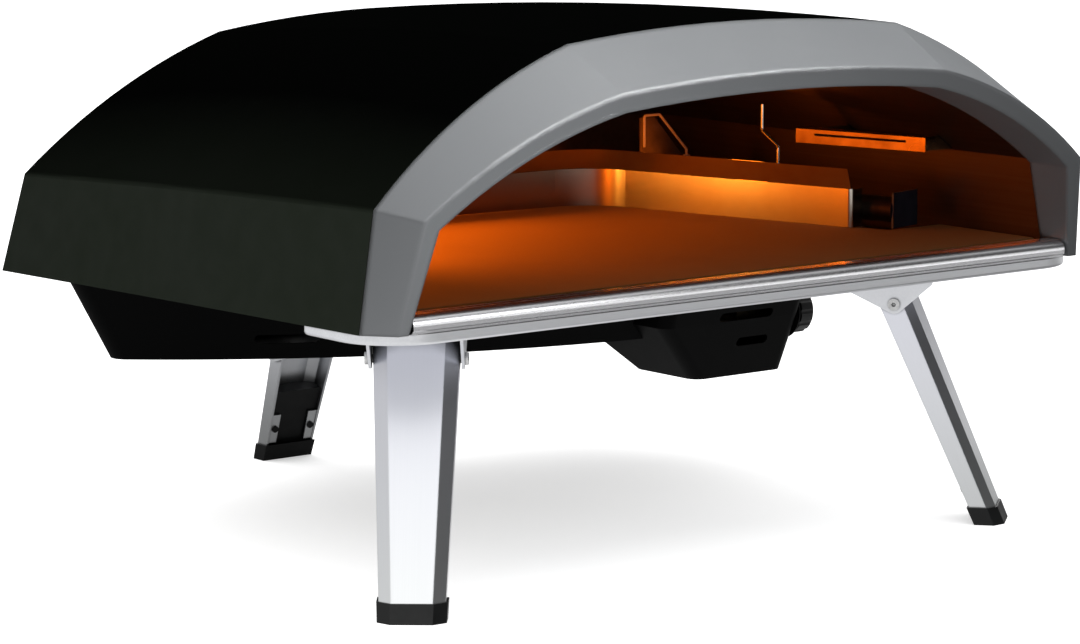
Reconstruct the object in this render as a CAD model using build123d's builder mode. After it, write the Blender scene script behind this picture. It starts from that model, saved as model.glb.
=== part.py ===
from build123d import *
import os
from math import cos, hypot, radians, sin

os.makedirs("parts", exist_ok=True)

# Portable gas pizza oven. Millimetres, X to the right, Y to the back, Z up, ground at zero.
# Depths below are counted from the line where the sloping mouth plane meets the ground.
overall_depth = 601.02
hood_reach = 65.6
ground_y = hood_reach - overall_depth / 2
rear_limit = overall_depth - hood_reach

# Common gaps and sheet sizes
seat_gap = 0.3
joint_gap = 0.6
overrun = 5.0
shell_wall = 1.5
liner_wall = 1.2
sheet = 1.5

# Height of the deck that the arch, the shell and the stone stand on
deck_z = 192.5
foot_z = deck_z + seat_gap

# Outline of the widest arch section, at the seam: half widths, rises and how far the faces bulge
seam_half, seam_shoulder_in, seam_brow_half = 315.0, 13.7, 144.9
seam_shoulder_rise, seam_brow_rise = 77.3, 94.6
seam_shoulder_bulge, seam_brow_bulge = 11.0, 8.2
seam_shoulder_half = seam_half - seam_shoulder_in
seam_shoulder_z = deck_z + seam_shoulder_rise
seam_brow_z = seam_shoulder_z + seam_brow_rise

# The other sections step in and down from the one at the seam
ridge_in, ridge_shoulder_in, ridge_brow_in = 15.6, 13.2, 3.7
ridge_shoulder_drop, ridge_brow_drop = 5.2, 28.8
ridge_shoulder_bulge, ridge_brow_bulge = 9.5, 8.0
ridge_half = seam_half - ridge_in
ridge_shoulder_half = seam_shoulder_half - ridge_shoulder_in
ridge_brow_half = seam_brow_half - ridge_brow_in
ridge_shoulder_z = seam_shoulder_z - ridge_shoulder_drop
ridge_brow_z = seam_brow_z - ridge_brow_drop

mouth_in, mouth_shoulder_in, mouth_brow_in = 23.9, 24.8, 8.2
mouth_shoulder_drop, mouth_brow_drop = 11.1, 40.6
mouth_shoulder_bulge, mouth_brow_bulge = 8.5, 7.0
mouth_half = seam_half - mouth_in
mouth_shoulder_half = seam_shoulder_half - mouth_shoulder_in
mouth_brow_half = seam_brow_half - mouth_brow_in
mouth_shoulder_z = seam_shoulder_z - mouth_shoulder_drop
mouth_brow_z = seam_brow_z - mouth_brow_drop

middle_shoulder_in = 0.1
middle_foot_drop, middle_shoulder_drop, middle_brow_drop = 2.5, 5.8, 2.2
middle_shoulder_bulge, middle_brow_bulge = 11.0, 9.6
middle_shoulder_half = seam_shoulder_half - middle_shoulder_in
middle_z = deck_z - middle_foot_drop
middle_shoulder_z = seam_shoulder_z - middle_shoulder_drop
middle_brow_z = seam_brow_z - middle_brow_drop

tail_shoulder_in = 0.3
tail_foot_drop, tail_shoulder_drop, tail_brow_drop = 6.0, 14.8, 16.7
tail_shoulder_bulge, tail_brow_bulge = 9.5, 11.0
tail_shoulder_half = seam_shoulder_half - tail_shoulder_in
tail_z = deck_z - tail_foot_drop
tail_shoulder_z = seam_shoulder_z - tail_shoulder_drop
tail_brow_z = seam_brow_z - tail_brow_drop

back_in, back_shoulder_in, back_brow_in = 69.0, 65.3, 26.9
back_foot_drop, back_shoulder_drop, back_brow_drop = 2.0, 29.8, 52.4
back_shoulder_bulge, back_brow_bulge = 8.0, 8.0
back_half = seam_half - back_in
back_shoulder_half = seam_shoulder_half - back_shoulder_in
back_brow_half = seam_brow_half - back_brow_in
back_z = deck_z - back_foot_drop
back_shoulder_z = seam_shoulder_z - back_shoulder_drop
back_brow_z = seam_brow_z - back_brow_drop
shoulder_round, brow_round = 6.0, 14.0

# Section planes: depth at ground level and slope of the plane (depth per unit of height)
ridge_ground, ridge_slope = 0.0, -0.191
seam_ground, seam_slope = -24.1, 0.036
tail_in, tail_slope = 98.92, -0.142
back_run, back_slope = 55.5, -0.03
middle_slope = -0.053
tail_ground = rear_limit - tail_in
middle_ground = (seam_ground + tail_ground) / 2
back_ground = tail_ground + back_run

# Front arch
arch_wall = 2.5
band_reach = 12.0
reveal_depth = -12.0

# Liner and insulation
liner_gap = 3.5
liner_front, liner_tail_gap = -8.0, 34.5
liner_back = tail_ground - liner_tail_gap
blanket_gap = 0.8

# Front tray, lip and mount plates
tray_in, tray_front, tray_back, tray_depth, tray_corner = 2.0, -37.0, 52.0, 7.0, 44.0
tray_neck_in, tray_neck_length, tray_edge = 30.0, 74.0, 2.2
tray_half = seam_half - tray_in
tray_neck_half = seam_half - tray_neck_in
tray_neck_back = tray_back + tray_neck_length
lip_side_gap, lip_height, lip_width, lip_round, lip_step, lip_step_height = 3.6, 12.0, 17.0, 7.0, 1.2, 2.4
lip_half = mouth_half - lip_side_gap
lip_proud = 0.8
lip_gap = 7.0
plate_in, plate_width, plate_front, plate_length, plate_thick = 43.0, 156.0, 8.0, 114.0, 3.6
plate_outer = seam_half - plate_in
plate_inner = plate_outer - plate_width
plate_back = plate_front + plate_length
plate_corner = 16.0

# Floor pan inside the shell
pan_gap = 3.0
pan_hole_gap = 0.6

# Flame guard: path of the band in plan and its heights
guard_start_in, guard_start_gap = 55.1, 42.0
guard_turn_in, guard_turn_rise = 133.1, 24.0
guard_end_in, guard_end_y = 74.1, 109.0
guard_start_x, guard_start_y = guard_start_in - mouth_half, liner_back - guard_start_gap
guard_turn_x, guard_turn_y = mouth_half - guard_turn_in, guard_start_y - guard_turn_rise
guard_end_x = mouth_half - guard_end_in
guard_turn_round = 46.0
guard_height, guard_sheet = 28.0, 1.2
guard_lip_height, guard_lip_lean = 15.0, 5.0
guard_return = 14.0

# Baking stone
stone_side_gap, stone_front, stone_thick, stone_round = 8.1, -13.0, 11.5, 3.0
stone_half = mouth_half - stone_side_gap
stone_shelf = 7.0
stone_past_guard = 25.0
stone_return = guard_end_y - stone_past_guard

# Burner
burner_offset, burner_r, burner_wall, burner_rise = 24.0, 9.5, 1.2, 24.5
burner_z = deck_z + burner_rise
burner_past_guard = 17.5
burner_end_y = guard_end_y - burner_past_guard
port_r, port_count = 1.5, 14
cap_plate_w, cap_plate_h, cap_plate_t, cap_plate_shift = 33.0, 26.0, 1.5, 9.0
post_w, post_t = 16.0, 3.0
mixer_r, mixer_wall, mixer_drop = 11.0, 1.2, 46.5
mixer_bottom = deck_z - mixer_drop
jet_r, jet_bore, jet_length, jet_inside = 4.0, 0.6, 18.0, 4.0

# Rail beside the front arm of the burner that throws the heat back over the stone
rail_in, rail_past_guard, rail_length, rail_rise = 45.1, 46.0, 111.0, 79.3
rail_drop, rail_depth = 10.2, 14.0
rail_slot_w, rail_slot_margin, rail_slot_drop = 1.8, 16.0, 3.6
rail_tab_reach, rail_tab_shares = 80.0, (0.06, 0.94)
rail_x, rail_y = mouth_half - rail_in, guard_end_y - rail_past_guard
rail_z = deck_z + rail_rise

# Igniter electrode, its bracket above the burner and the flame probe
bracket_in, bracket_from_turn, bracket_rise, bracket_height = 105.1, 25.7, 45.5, 32.3
bracket_width, bracket_top, bracket_leg, bracket_sheet = 43.0, 14.0, 12.0, 1.2
ceramic_r, ceramic_rise, ceramic_drop, tip_r, tip_over, tip_down = 3.2, 47.5, 8.5, 1.0, 2.0, 24.0
bracket_left, bracket_y = mouth_half - bracket_in, guard_turn_y - bracket_from_turn
bracket_foot = deck_z + bracket_rise
electrode_x, electrode_y = bracket_left + bracket_width, bracket_y - ceramic_r - seat_gap
ceramic_top, ceramic_bottom = deck_z + ceramic_rise, deck_z - ceramic_drop
probe_in, probe_from_turn, probe_r, probe_rise = 59.1, 131.0, 1.1, 94.5
probe_jog, probe_bend, probe_knee_shares = 16.0, 3.0, (0.66, 0.8)
probe_x, probe_y = mouth_half - probe_in, guard_turn_y - probe_from_turn

# Housing under the rear half: shallow tub and deep box; the knob's axis sets the place of the box
housing_wall = 2.0
tub_drop, box_drop, box_mid_drop = 87.5, 120.5, 74.5
tub_z, box_z, box_mid_z = deck_z - tub_drop, deck_z - box_drop, deck_z - box_mid_drop
tub_in, tub_back_in, knob_from_back = 19.0, 13.0, 208.0
tub_right, tub_back = seam_half - tub_in, back_ground - tub_back_in
knob_y = tub_back - knob_from_back
tub_left_in, tub_heel_in, rim_left_in, rim_heel_in = 115.0, 137.0, 59.0, 97.0
tub_left, tub_heel = tub_left_in - seam_half, tub_heel_in - seam_half
rim_left, rim_heel = rim_left_in - seam_half, rim_heel_in - seam_half
tub_left_ahead, rim_left_ahead = 19.0, 33.0
tub_left_y, rim_left_y = tub_back - tub_left_ahead, tub_back - rim_left_ahead
tub_mid, tub_mid_behind, tub_right_behind = 38.0, 48.0, 15.0
rim_mid, rim_mid_behind, rim_right_ahead = 16.0, 9.0, 25.0
tub_mid_y, tub_right_y = knob_y + tub_mid_behind, knob_y + tub_right_behind
rim_mid_y, rim_right_y = knob_y + rim_mid_behind, knob_y - rim_right_ahead
box_width, box_ahead, box_behind = 90.0, 3.0, 71.0
box_mid_width, box_mid_ahead, box_mid_behind = 138.0, 23.5, 101.0
box_top_width, box_top_ahead, box_top_behind = 146.0, 53.0, 121.0
box_left, box_front, box_back = tub_right - box_width, knob_y - box_ahead, knob_y + box_behind
box_mid_left = tub_right - box_mid_width
box_mid_front, box_mid_back = knob_y - box_mid_ahead, knob_y + box_mid_behind
box_top_left = tub_right - box_top_width
box_top_front, box_top_back = knob_y - box_top_ahead, knob_y + box_top_behind
tub_corner_in, tub_corner_ahead = 60.0, 51.0
tub_corner_x, tub_corner_y = tub_right - tub_corner_in, tub_back - tub_corner_ahead
tub_round = 14.0
flange = 9.0
flange_shares = (0.05, 0.3, 0.58)
box_round = 10.0
vent_height = 7.0
box_vent_in, box_vent_rise, box_vent_width = 58.0, 4.0, 53.0
box_vent_x, box_vent_z = tub_right - box_vent_in, box_mid_z + box_vent_rise
low_vent_in, low_vent_rise, low_vent_width = 44.0, 28.0, 31.0
low_vent_x, low_vent_z = tub_right - low_vent_in, box_z + low_vent_rise
side_vent_x, side_vent_ahead, side_vent_rise, side_vent_width, side_vent_turn = -93.0, 99.0, 16.0, 48.0, -34.0
side_vent_y, side_vent_z = tub_back - side_vent_ahead, tub_z + side_vent_rise
back_vent_count, back_vent_pitch, back_vent_width = 6, 34.0, 20.0

# Control knob on the right side of the deep box
knob_rise, knob_r, knob_length = 45.0, 18.0, 13.0
knob_z = box_z + knob_rise
knob_travel = 3.5
knob_stand = 5.5
bezel_r, bezel_t = 21.0, 1.2
stem_r, stem_fit = 4.0, 0.05
stem_tip, stem_deep, stem_flat = 12.0, 44.0, 1.2
stem_root = tub_right - stem_deep
knob_round, knob_grip, knob_grip_r, knob_dish, knob_bar = 1.6, 12, 3.0, 2.4, 7.0
valve_length, valve_r, valve_collar_r, valve_collar = 52.0, 9.5, 13.0, 9.0
mixer_behind = 1.0
mixer_y = knob_y + mixer_behind
elbow_r = 5.5
pipe_r, pipe_bore, pipe_bend = 4.0, 3.0, 18.0
pipe_low_behind, pipe_high_ahead = 73.0, 79.0
pipe_low_y, pipe_high_y = knob_y + pipe_low_behind, tub_back - pipe_high_ahead

# Gas inlet at the back of the housing
inlet_in, inlet_drop, inlet_r, inlet_length = 110.0, 52.5, 7.9, 14.0
inlet_x, inlet_z = tub_right - inlet_in, deck_z - inlet_drop
inlet_hex = 20.0
inlet_bore = 4.0

# Spark unit on the housing floor and its lead to the electrode
spark_x, spark_ahead, spark_length, spark_width, spark_height, spark_round = 70.0, 59.0, 46.0, 26.0, 20.0, 3.0
spark_y = tub_back - spark_ahead
lead_r, lead_bend = 1.6, 16.0

# Legs: hinge centre, direction of the foot in plan, splay and lengths
front_hinge_in, front_hinge_y, front_hinge_drop = 99.3, 56.2, 33.3
front_hinge_x, front_hinge_z = seam_half - front_hinge_in, deck_z - front_hinge_drop
front_turn_deg, front_splay_deg = 39.9, 22.6
rear_hinge_in, rear_hinge_drop, rear_splay_deg = 41.42, 17.0, 18.0
rear_hinge_y, rear_hinge_z = rear_limit - rear_hinge_in, tub_z - rear_hinge_drop
leg_wall = 1.8
leg_top_half, leg_foot_half = 28.7, 20.5
leg_top_face, leg_foot_face = 19.2, 12.6
leg_top_deep, leg_foot_deep = 21.6, 16.0
rear_leg_top_half, rear_leg_top_face, rear_leg_top_deep = 25.0, 16.4, 20.0
leg_bevel = 5.5
leg_pin_depth = 10.8
leg_over, rear_leg_over = 12.0, 8.0
bolt_r, bolt_fit, bolt_head_r, bolt_head = 3.0, 0.05, 4.2, 2.6
hex_across, hex_deep = 3.0, 1.6
ear_gap, ear_thick = 0.7, 2.0
ear_inner, ear_outer, ear_round = 38.0, 27.0, 6.8
rear_ear_inner, rear_ear_outer = 44.0, 9.0
ear_inner_drop, ear_outer_drop = 12.0, 8.0
cap_height, cap_wall, cap_gap, insert_height = 12.5, 1.2, 0.2, 46.0
tab_clear = 1.2
tab_width, tab_height, tab_lift = 8.5, 24.0, 16.0
tab_screw_r, tab_screw_head, tab_screw_length = 2.6, 1.4, 4.0

# Small screws of the covers
screw_r, screw_head_r, screw_head_t, screw_length = 1.5, 3.4, 1.4, 3.6


def depth(value):
    """Depth in the part's own frame of a depth counted from the mouth line."""
    return ground_y + value


def sloped_plane(ground, slope):
    """Plane across the oven, leaning by the given depth per unit of height."""
    return Plane(origin=(0, depth(ground), 0), x_dir=(1, 0, 0), z_dir=(0, -1, slope))


def arch_section(name, plane, inset=0.0, end=None, rounded=False):
    """Face of one named arch section on a plane, smaller by the inset; end lowers its side walls."""
    half, shoulder, brow, bulges, bottom, slope = {
        "seam": (seam_half, (seam_shoulder_half, seam_shoulder_z), (seam_brow_half, seam_brow_z),
                 (seam_shoulder_bulge, seam_brow_bulge), foot_z, seam_slope),
        "ridge": (ridge_half, (ridge_shoulder_half, ridge_shoulder_z), (ridge_brow_half, ridge_brow_z),
                  (ridge_shoulder_bulge, ridge_brow_bulge), foot_z, ridge_slope),
        "mouth": (mouth_half, (mouth_shoulder_half, mouth_shoulder_z), (mouth_brow_half, mouth_brow_z),
                  (mouth_shoulder_bulge, mouth_brow_bulge), foot_z, 0.0),
        "middle": (seam_half, (middle_shoulder_half, middle_shoulder_z), (seam_brow_half, middle_brow_z),
                   (middle_shoulder_bulge, middle_brow_bulge), middle_z, middle_slope),
        "tail": (seam_half, (tail_shoulder_half, tail_shoulder_z), (seam_brow_half, tail_brow_z),
                 (tail_shoulder_bulge, tail_brow_bulge), tail_z, tail_slope),
        "back": (back_half, (back_shoulder_half, back_shoulder_z), (back_brow_half, back_brow_z),
                 (back_shoulder_bulge, back_brow_bulge), back_z, back_slope),
    }[name]
    stretch = hypot(1, slope)
    low = bottom if end is None else end
    rate = (half - shoulder[0]) / (shoulder[1] - bottom)
    foot = (half + rate * (bottom - low), low * stretch)
    side = (shoulder[0], shoulder[1] * stretch)
    top = (brow[0], brow[1] * stretch)
    run = hypot(side[0] - top[0], top[1] - side[1])
    mid = ((side[0] + top[0]) / 2 + (top[1] - side[1]) / run * bulges[0],
           (side[1] + top[1]) / 2 + (side[0] - top[0]) / run * bulges[0])
    with BuildSketch(plane) as section:
        with BuildLine():
            Line((-foot[0], foot[1]), (-side[0], side[1]))
            ThreePointArc((-side[0], side[1]), (-mid[0], mid[1]), (-top[0], top[1]))
            ThreePointArc((-top[0], top[1]), (0, top[1] + bulges[1]), top)
            ThreePointArc(top, mid, side)
            Polyline(side, foot, (-foot[0], foot[1]))
        make_face()
        if rounded:
            for corners, radius in ((side, shoulder_round), (top, brow_round)):
                fillet([v for v in section.vertices() if abs(abs(v.X) - corners[0]) < seat_gap], radius)
        if inset:
            offset(amount=-inset, kind=Kind.INTERSECTION, mode=Mode.REPLACE)
    return section.sketch


# Outer shell: faceted arch sheet from the seam behind the front arch to the rear cover
seam_plane = sloped_plane(seam_ground, seam_slope)
ridge_plane = sloped_plane(ridge_ground, ridge_slope)
middle_plane = sloped_plane(middle_ground, middle_slope)
tail_plane = sloped_plane(tail_ground, tail_slope)
shell_front_plane = sloped_plane(seam_ground + joint_gap, seam_slope)
shell_back_plane = sloped_plane(tail_ground - joint_gap, tail_slope)
low_z = deck_z - 4 * overrun
with BuildPart() as outer_shell:
    shell_stations = (("seam", shell_front_plane), ("middle", middle_plane), ("tail", shell_back_plane))
    loft([arch_section(name, plane, rounded=True) for name, plane in shell_stations])
    loft([arch_section(name, plane, shell_wall, low_z, True) for name, plane in shell_stations],
         mode=Mode.SUBTRACT)
outer_shell.part.label = "outer_shell"
export_step(outer_shell.part, "parts/outer_shell.step")

# Front arch: hollow pressed frame from the seam to the sloping mouth, with a reveal round the mouth
ridge_inner_plane = sloped_plane(ridge_ground + arch_wall, ridge_slope)
reveal_plane = Plane.XZ.offset(-depth(reveal_depth))
with BuildPart() as front_arch:
    loft([arch_section("seam", seam_plane), arch_section("ridge", ridge_plane)])
    loft([arch_section("seam", seam_plane, arch_wall, low_z),
          arch_section("ridge", ridge_inner_plane, arch_wall, low_z)], mode=Mode.SUBTRACT)
    extrude(arch_section("mouth", reveal_plane, -arch_wall), amount=hood_reach + 2 * overrun)
    extrude(arch_section("mouth", reveal_plane.offset(-overrun), 0.0, low_z),
            amount=hood_reach + 4 * overrun, mode=Mode.SUBTRACT)
    with BuildSketch(ridge_plane):
        Rectangle(3 * seam_half, 4 * seam_brow_z)
    extrude(amount=hood_reach + 4 * overrun, mode=Mode.SUBTRACT)
    with BuildSketch(Plane.XY.offset(foot_z)):
        with Locations((0, depth(0))):
            Rectangle(3 * seam_half, 4 * hood_reach)
    extrude(amount=-4 * overrun, mode=Mode.SUBTRACT)
front_arch.part.label = "front_arch"
export_step(front_arch.part, "parts/front_arch.step")

# Rear cover: faceted pressing that closes the shell and carries it back to the flat rear face
back_plane = sloped_plane(back_ground, back_slope)
back_inner_plane = sloped_plane(back_ground - shell_wall, back_slope)
with BuildPart() as rear_cover:
    loft([arch_section("tail", tail_plane), arch_section("back", back_plane)])
    loft([arch_section("tail", tail_plane, shell_wall, low_z),
          arch_section("back", back_inner_plane, shell_wall, low_z)], mode=Mode.SUBTRACT)
rear_cover.part.label = "rear_cover"
export_step(rear_cover.part, "parts/rear_cover.step")

# Seam bands: thin inner arches that lie under both sheets of a seam and tie them together


def seam_band_half(seam, other, cover, reach):
    """One side of a band: a skin inside the sheet that runs from the seam section to the other one."""
    inner = cover + seat_gap + liner_wall
    with BuildPart() as half:
        stations = (seam, other)
        loft([arch_section(name, plane, cover + seat_gap) for name, plane in stations])
        loft([arch_section(name, plane, inner, low_z) for name, plane in stations],
             mode=Mode.SUBTRACT)
        split(bisect_by=seam[1].offset(reach), keep=Keep.BOTTOM if reach > 0 else Keep.TOP)
        split(bisect_by=Plane.XY.offset(foot_z), keep=Keep.TOP)
    return half.part


with BuildPart() as front_seam_band:
    add(seam_band_half(("seam", seam_plane), ("ridge", ridge_inner_plane), arch_wall, band_reach))
    add(seam_band_half(("seam", seam_plane), ("tail", tail_plane), arch_wall, -band_reach))
front_seam_band.part.label = "front_seam_band"
export_step(front_seam_band.part, "parts/front_seam_band.step")

with BuildPart() as rear_seam_band:
    add(seam_band_half(("tail", tail_plane), ("seam", seam_plane), shell_wall, band_reach))
    add(seam_band_half(("tail", tail_plane), ("back", back_inner_plane), shell_wall, -band_reach))
rear_seam_band.part.label = "rear_seam_band"
export_step(rear_seam_band.part, "parts/rear_seam_band.step")

# Liner: open-bottomed inner arch with a back wall
liner_out = liner_gap + liner_wall
liner_length = liner_back - liner_front
with BuildPart() as liner:
    extrude(arch_section("mouth", Plane.XZ.offset(-depth(liner_back)), -liner_out), amount=liner_length)
    extrude(arch_section("mouth", Plane.XZ.offset(-depth(liner_back - liner_wall)), -liner_gap, low_z),
            amount=liner_length + overrun, mode=Mode.SUBTRACT)
    with BuildSketch(Plane.XY.offset(foot_z)):
        with Locations((0, depth(liner_back / 2))):
            Rectangle(3 * seam_half, 2 * liner_back)
    extrude(amount=-4 * overrun, mode=Mode.SUBTRACT)
liner.part.label = "liner"
export_step(liner.part, "parts/liner.step")

# Insulation blanket: tunnel that fills the space between the liner and the shell
blanket_front_plane = sloped_plane(seam_ground + 3 * overrun, seam_slope)
blanket_back_plane = sloped_plane(tail_ground - 4 * overrun, tail_slope)
with BuildPart() as insulation_blanket:
    blanket_stations = (("seam", blanket_front_plane), ("middle", middle_plane), ("tail", blanket_back_plane))
    blanket_inset = shell_wall + blanket_gap
    loft([arch_section(name, plane, blanket_inset, low_z, True) for name, plane in blanket_stations])
    extrude(arch_section("mouth", Plane.XZ.offset(-depth(tail_ground)), -liner_out - blanket_gap,
                         low_z - overrun), amount=tail_ground + hood_reach, mode=Mode.SUBTRACT)
    with BuildSketch(Plane.XY.offset(foot_z)):
        with Locations((0, depth(liner_back / 2))):
            Rectangle(3 * seam_half, 2 * liner_back)
    extrude(amount=-6 * overrun, mode=Mode.SUBTRACT)
insulation_blanket.part.label = "insulation_blanket"
export_step(insulation_blanket.part, "parts/insulation_blanket.step")

# Front tray: rounded crossmember that carries the arch, the lip and the front legs
tray_z = deck_z - tray_depth
with BuildPart() as front_tray:
    with BuildSketch(Plane.XY.offset(tray_z)) as tray_plan:
        with Locations((0, depth(tray_front))):
            Rectangle(2 * tray_half, tray_back - tray_front, align=(Align.CENTER, Align.MIN))
        fillet(tray_plan.vertices().group_by(Axis.Y)[0], tray_corner)
        fillet(tray_plan.vertices().group_by(Axis.Y)[-1], tray_corner / 4)
        with Locations((0, depth(tray_front + tray_corner))):
            Rectangle(2 * tray_neck_half, tray_neck_back - tray_front - tray_corner,
                      align=(Align.CENTER, Align.MIN))
    extrude(amount=tray_depth)
    fillet(front_tray.faces().sort_by(Axis.Z)[0].edges(), tray_edge)
    with BuildSketch(Plane.XY.offset(tray_z)):
        add(tray_plan.sketch)
        offset(amount=-tray_edge - sheet, mode=Mode.REPLACE)
    extrude(amount=tray_depth - sheet, mode=Mode.SUBTRACT)
front_tray.part.label = "front_tray"
export_step(front_tray.part, "parts/front_tray.step")

# Front lip: folded closed section between the feet of the arch, just ahead of the stone
lip_back = stone_front - lip_gap
lip_front = lip_back - lip_width
lip_top_z = foot_z + lip_height
with BuildPart() as front_lip:
    with BuildSketch(Plane.YZ.offset(-lip_half)) as lip_profile:
        with BuildLine():
            Polyline((depth(lip_back), foot_z), (depth(lip_back), lip_top_z),
                     (depth(lip_front), lip_top_z), (depth(lip_front), foot_z + lip_step_height),
                     (depth(lip_front + lip_step), foot_z + lip_step_height - lip_proud),
                     (depth(lip_front + lip_step), foot_z), close=True)
        make_face()
        fillet(lip_profile.vertices().group_by(Axis.Y)[-1].sort_by(Axis.X)[0], lip_round)
        offset(amount=-liner_wall, kind=Kind.INTERSECTION, mode=Mode.SUBTRACT)
    extrude(amount=2 * lip_half)
front_lip.part.label = "front_lip"
export_step(front_lip.part, "parts/front_lip.step")

# Path of the flame guard in plan, and the same path moved out to the stone edge and the burner


def moved_turn(distance):
    """Turn of the guard path moved outward, with the directions of both arms."""
    back_run = hypot(guard_turn_x - guard_start_x, guard_turn_y - guard_start_y)
    side_run = hypot(guard_end_x - guard_turn_x, guard_end_y - guard_turn_y)
    back_dir = ((guard_turn_x - guard_start_x) / back_run, (guard_turn_y - guard_start_y) / back_run)
    side_dir = ((guard_end_x - guard_turn_x) / side_run, (guard_end_y - guard_turn_y) / side_run)
    back_out = (-back_dir[1], back_dir[0])
    side_out = (-side_dir[1], side_dir[0])
    share = 1 + back_out[0] * side_out[0] + back_out[1] * side_out[1]
    turn = (guard_turn_x + distance * (back_out[0] + side_out[0]) / share,
            guard_turn_y + distance * (back_out[1] + side_out[1]) / share)
    return turn, back_dir, side_dir


def moved_path(distance, start_x, end_y):
    """Three points of the guard path moved outward, cut at a start across and an end depth."""
    turn, back_dir, side_dir = moved_turn(distance)
    start = (start_x, turn[1] + (start_x - turn[0]) * back_dir[1] / back_dir[0])
    end = (turn[0] + (end_y - turn[1]) * side_dir[0] / side_dir[1], end_y)
    return [(point[0], depth(point[1])) for point in (start, turn, end)]


# Baking stone: slab with the corner behind the flame guard cut away
stone_top = foot_z + stone_thick
with BuildPart() as baking_stone:
    with BuildSketch(Plane.XY.offset(foot_z)) as stone_plan:
        with BuildLine():
            notch = moved_path(stone_shelf, -stone_half, stone_return)
            Polyline((-stone_half, depth(stone_front)), (stone_half, depth(stone_front)),
                     (stone_half, depth(stone_return)), notch[2], notch[1], notch[0], close=True)
        make_face()
        fillet(stone_plan.vertices(), stone_round)
    extrude(amount=stone_thick)
    chamfer(baking_stone.faces().sort_by(Axis.Z)[-1].edges(), stone_round / 4)
baking_stone.part.label = "baking_stone"
export_step(baking_stone.part, "parts/baking_stone.step")

# Flame guard: bent band that stands over the edge of the stone, with a short return at its end
guard_z = stone_top + seat_gap
guard_path_points = moved_path(0.0, guard_start_x, guard_end_y)
_, _, guard_side = moved_turn(0.0)
guard_end = guard_path_points[2]
guard_hook = (guard_end[0] - guard_return * guard_side[1], guard_end[1] + guard_return * guard_side[0])
with BuildPart() as flame_guard:
    with BuildLine(Plane.XY.offset(guard_z)) as guard_path:
        FilletPolyline(*guard_path_points, guard_hook, radius=[guard_turn_round, 2 * guard_sheet])
    with BuildSketch(Plane(origin=guard_path.line @ 0, x_dir=(0, 0, 1), z_dir=guard_path.line % 0)):
        Rectangle(guard_height, guard_sheet, align=(Align.MIN, Align.CENTER))
    sweep()
flame_guard.part.label = "flame_guard"
export_step(flame_guard.part, "parts/flame_guard.step")

# Guard lip: strip on top of the guard that leans back over the burner
lip_strip_z = guard_z + guard_height + seat_gap
with BuildPart() as guard_lip:
    with BuildLine(Plane.XY.offset(lip_strip_z)) as strip_path:
        FilletPolyline(*guard_path_points, radius=guard_turn_round)
    with BuildSketch(Plane(origin=strip_path.line @ 0, x_dir=(0, 0, 1), z_dir=strip_path.line % 0)):
        with BuildLine():
            Polyline((0, -guard_sheet / 2), (guard_lip_height, guard_lip_lean - guard_sheet / 2),
                     (guard_lip_height, guard_lip_lean + guard_sheet / 2), (0, guard_sheet / 2),
                     close=True)
        make_face()
    sweep()
guard_lip.part.label = "guard_lip"
export_step(guard_lip.part, "parts/guard_lip.step")

# Burner: bent tube outside the guard with a row of ports that face the stone
burner_points = moved_path(burner_offset, guard_start_x, burner_end_y)
burner_turn, burner_back, burner_side = moved_turn(burner_offset)
mixer_x = burner_turn[0] + (mixer_y - burner_turn[1]) * burner_side[0] / burner_side[1]
with BuildPart() as burner_tube:
    with BuildLine(Plane.XY.offset(burner_z)) as burner_path:
        FilletPolyline(*burner_points, radius=guard_turn_round + burner_offset)
    with BuildSketch(Plane(origin=burner_path.line @ 0, z_dir=burner_path.line % 0)):
        Circle(burner_r)
        Circle(burner_r - burner_wall, mode=Mode.SUBTRACT)
    sweep()
    for port in range(port_count):
        share = (port + 1) / (port_count + 1)
        along = burner_path.line % share
        aim = (along.Y, -along.X, 1)
        with Locations(Plane(origin=burner_path.line @ share, z_dir=aim)):
            Cylinder(port_r, 2 * burner_r, align=(Align.CENTER, Align.CENTER, Align.MIN),
                     mode=Mode.SUBTRACT)
    with Locations((mixer_x, depth(mixer_y), burner_z)):
        Cylinder(mixer_r - 3 * mixer_wall, 2 * burner_r, mode=Mode.SUBTRACT,
                 align=(Align.CENTER, Align.CENTER, Align.MAX))
burner_tube.part.label = "burner_tube"
export_step(burner_tube.part, "parts/burner_tube.step")

# Burner end cap: plug and square plate on the front end of the tube, plug on the far end
with BuildPart() as burner_end_caps:
    with BuildSketch(Plane(origin=burner_path.line @ 1, x_dir=(0, 0, 1), z_dir=burner_path.line % 1)):
        with Locations((0, -cap_plate_shift)):
            Rectangle(cap_plate_h, cap_plate_w)
    extrude(amount=cap_plate_t)
    with BuildSketch(Plane(origin=burner_path.line @ 0, z_dir=-(burner_path.line % 0))):
        Circle(burner_r + cap_plate_t)
    extrude(amount=cap_plate_t)
burner_end_caps.part.label = "burner_end_caps"
export_step(burner_end_caps.part, "parts/burner_end_caps.step")

# Burner posts: folded feet that hold the tube above the deck
post_shares = (0.08, 0.42, 0.93)
with BuildPart() as burner_posts:
    for share in post_shares:
        spot = burner_path.line @ share
        with BuildSketch(Plane(origin=(spot.X, spot.Y, deck_z + seat_gap), x_dir=burner_path.line % share,
                               z_dir=(0, 0, 1))):
            Rectangle(post_t, post_w)
        extrude(amount=burner_z - foot_z)
    with BuildLine(Plane.XY.offset(burner_z)) as post_path:
        FilletPolyline(*burner_points, radius=guard_turn_round + burner_offset)
    with BuildSketch(Plane(origin=post_path.line @ 0, z_dir=post_path.line % 0)):
        Circle(burner_r + stem_fit)
    sweep(mode=Mode.SUBTRACT)
burner_posts.part.label = "burner_posts"
export_step(burner_posts.part, "parts/burner_posts.step")

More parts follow.
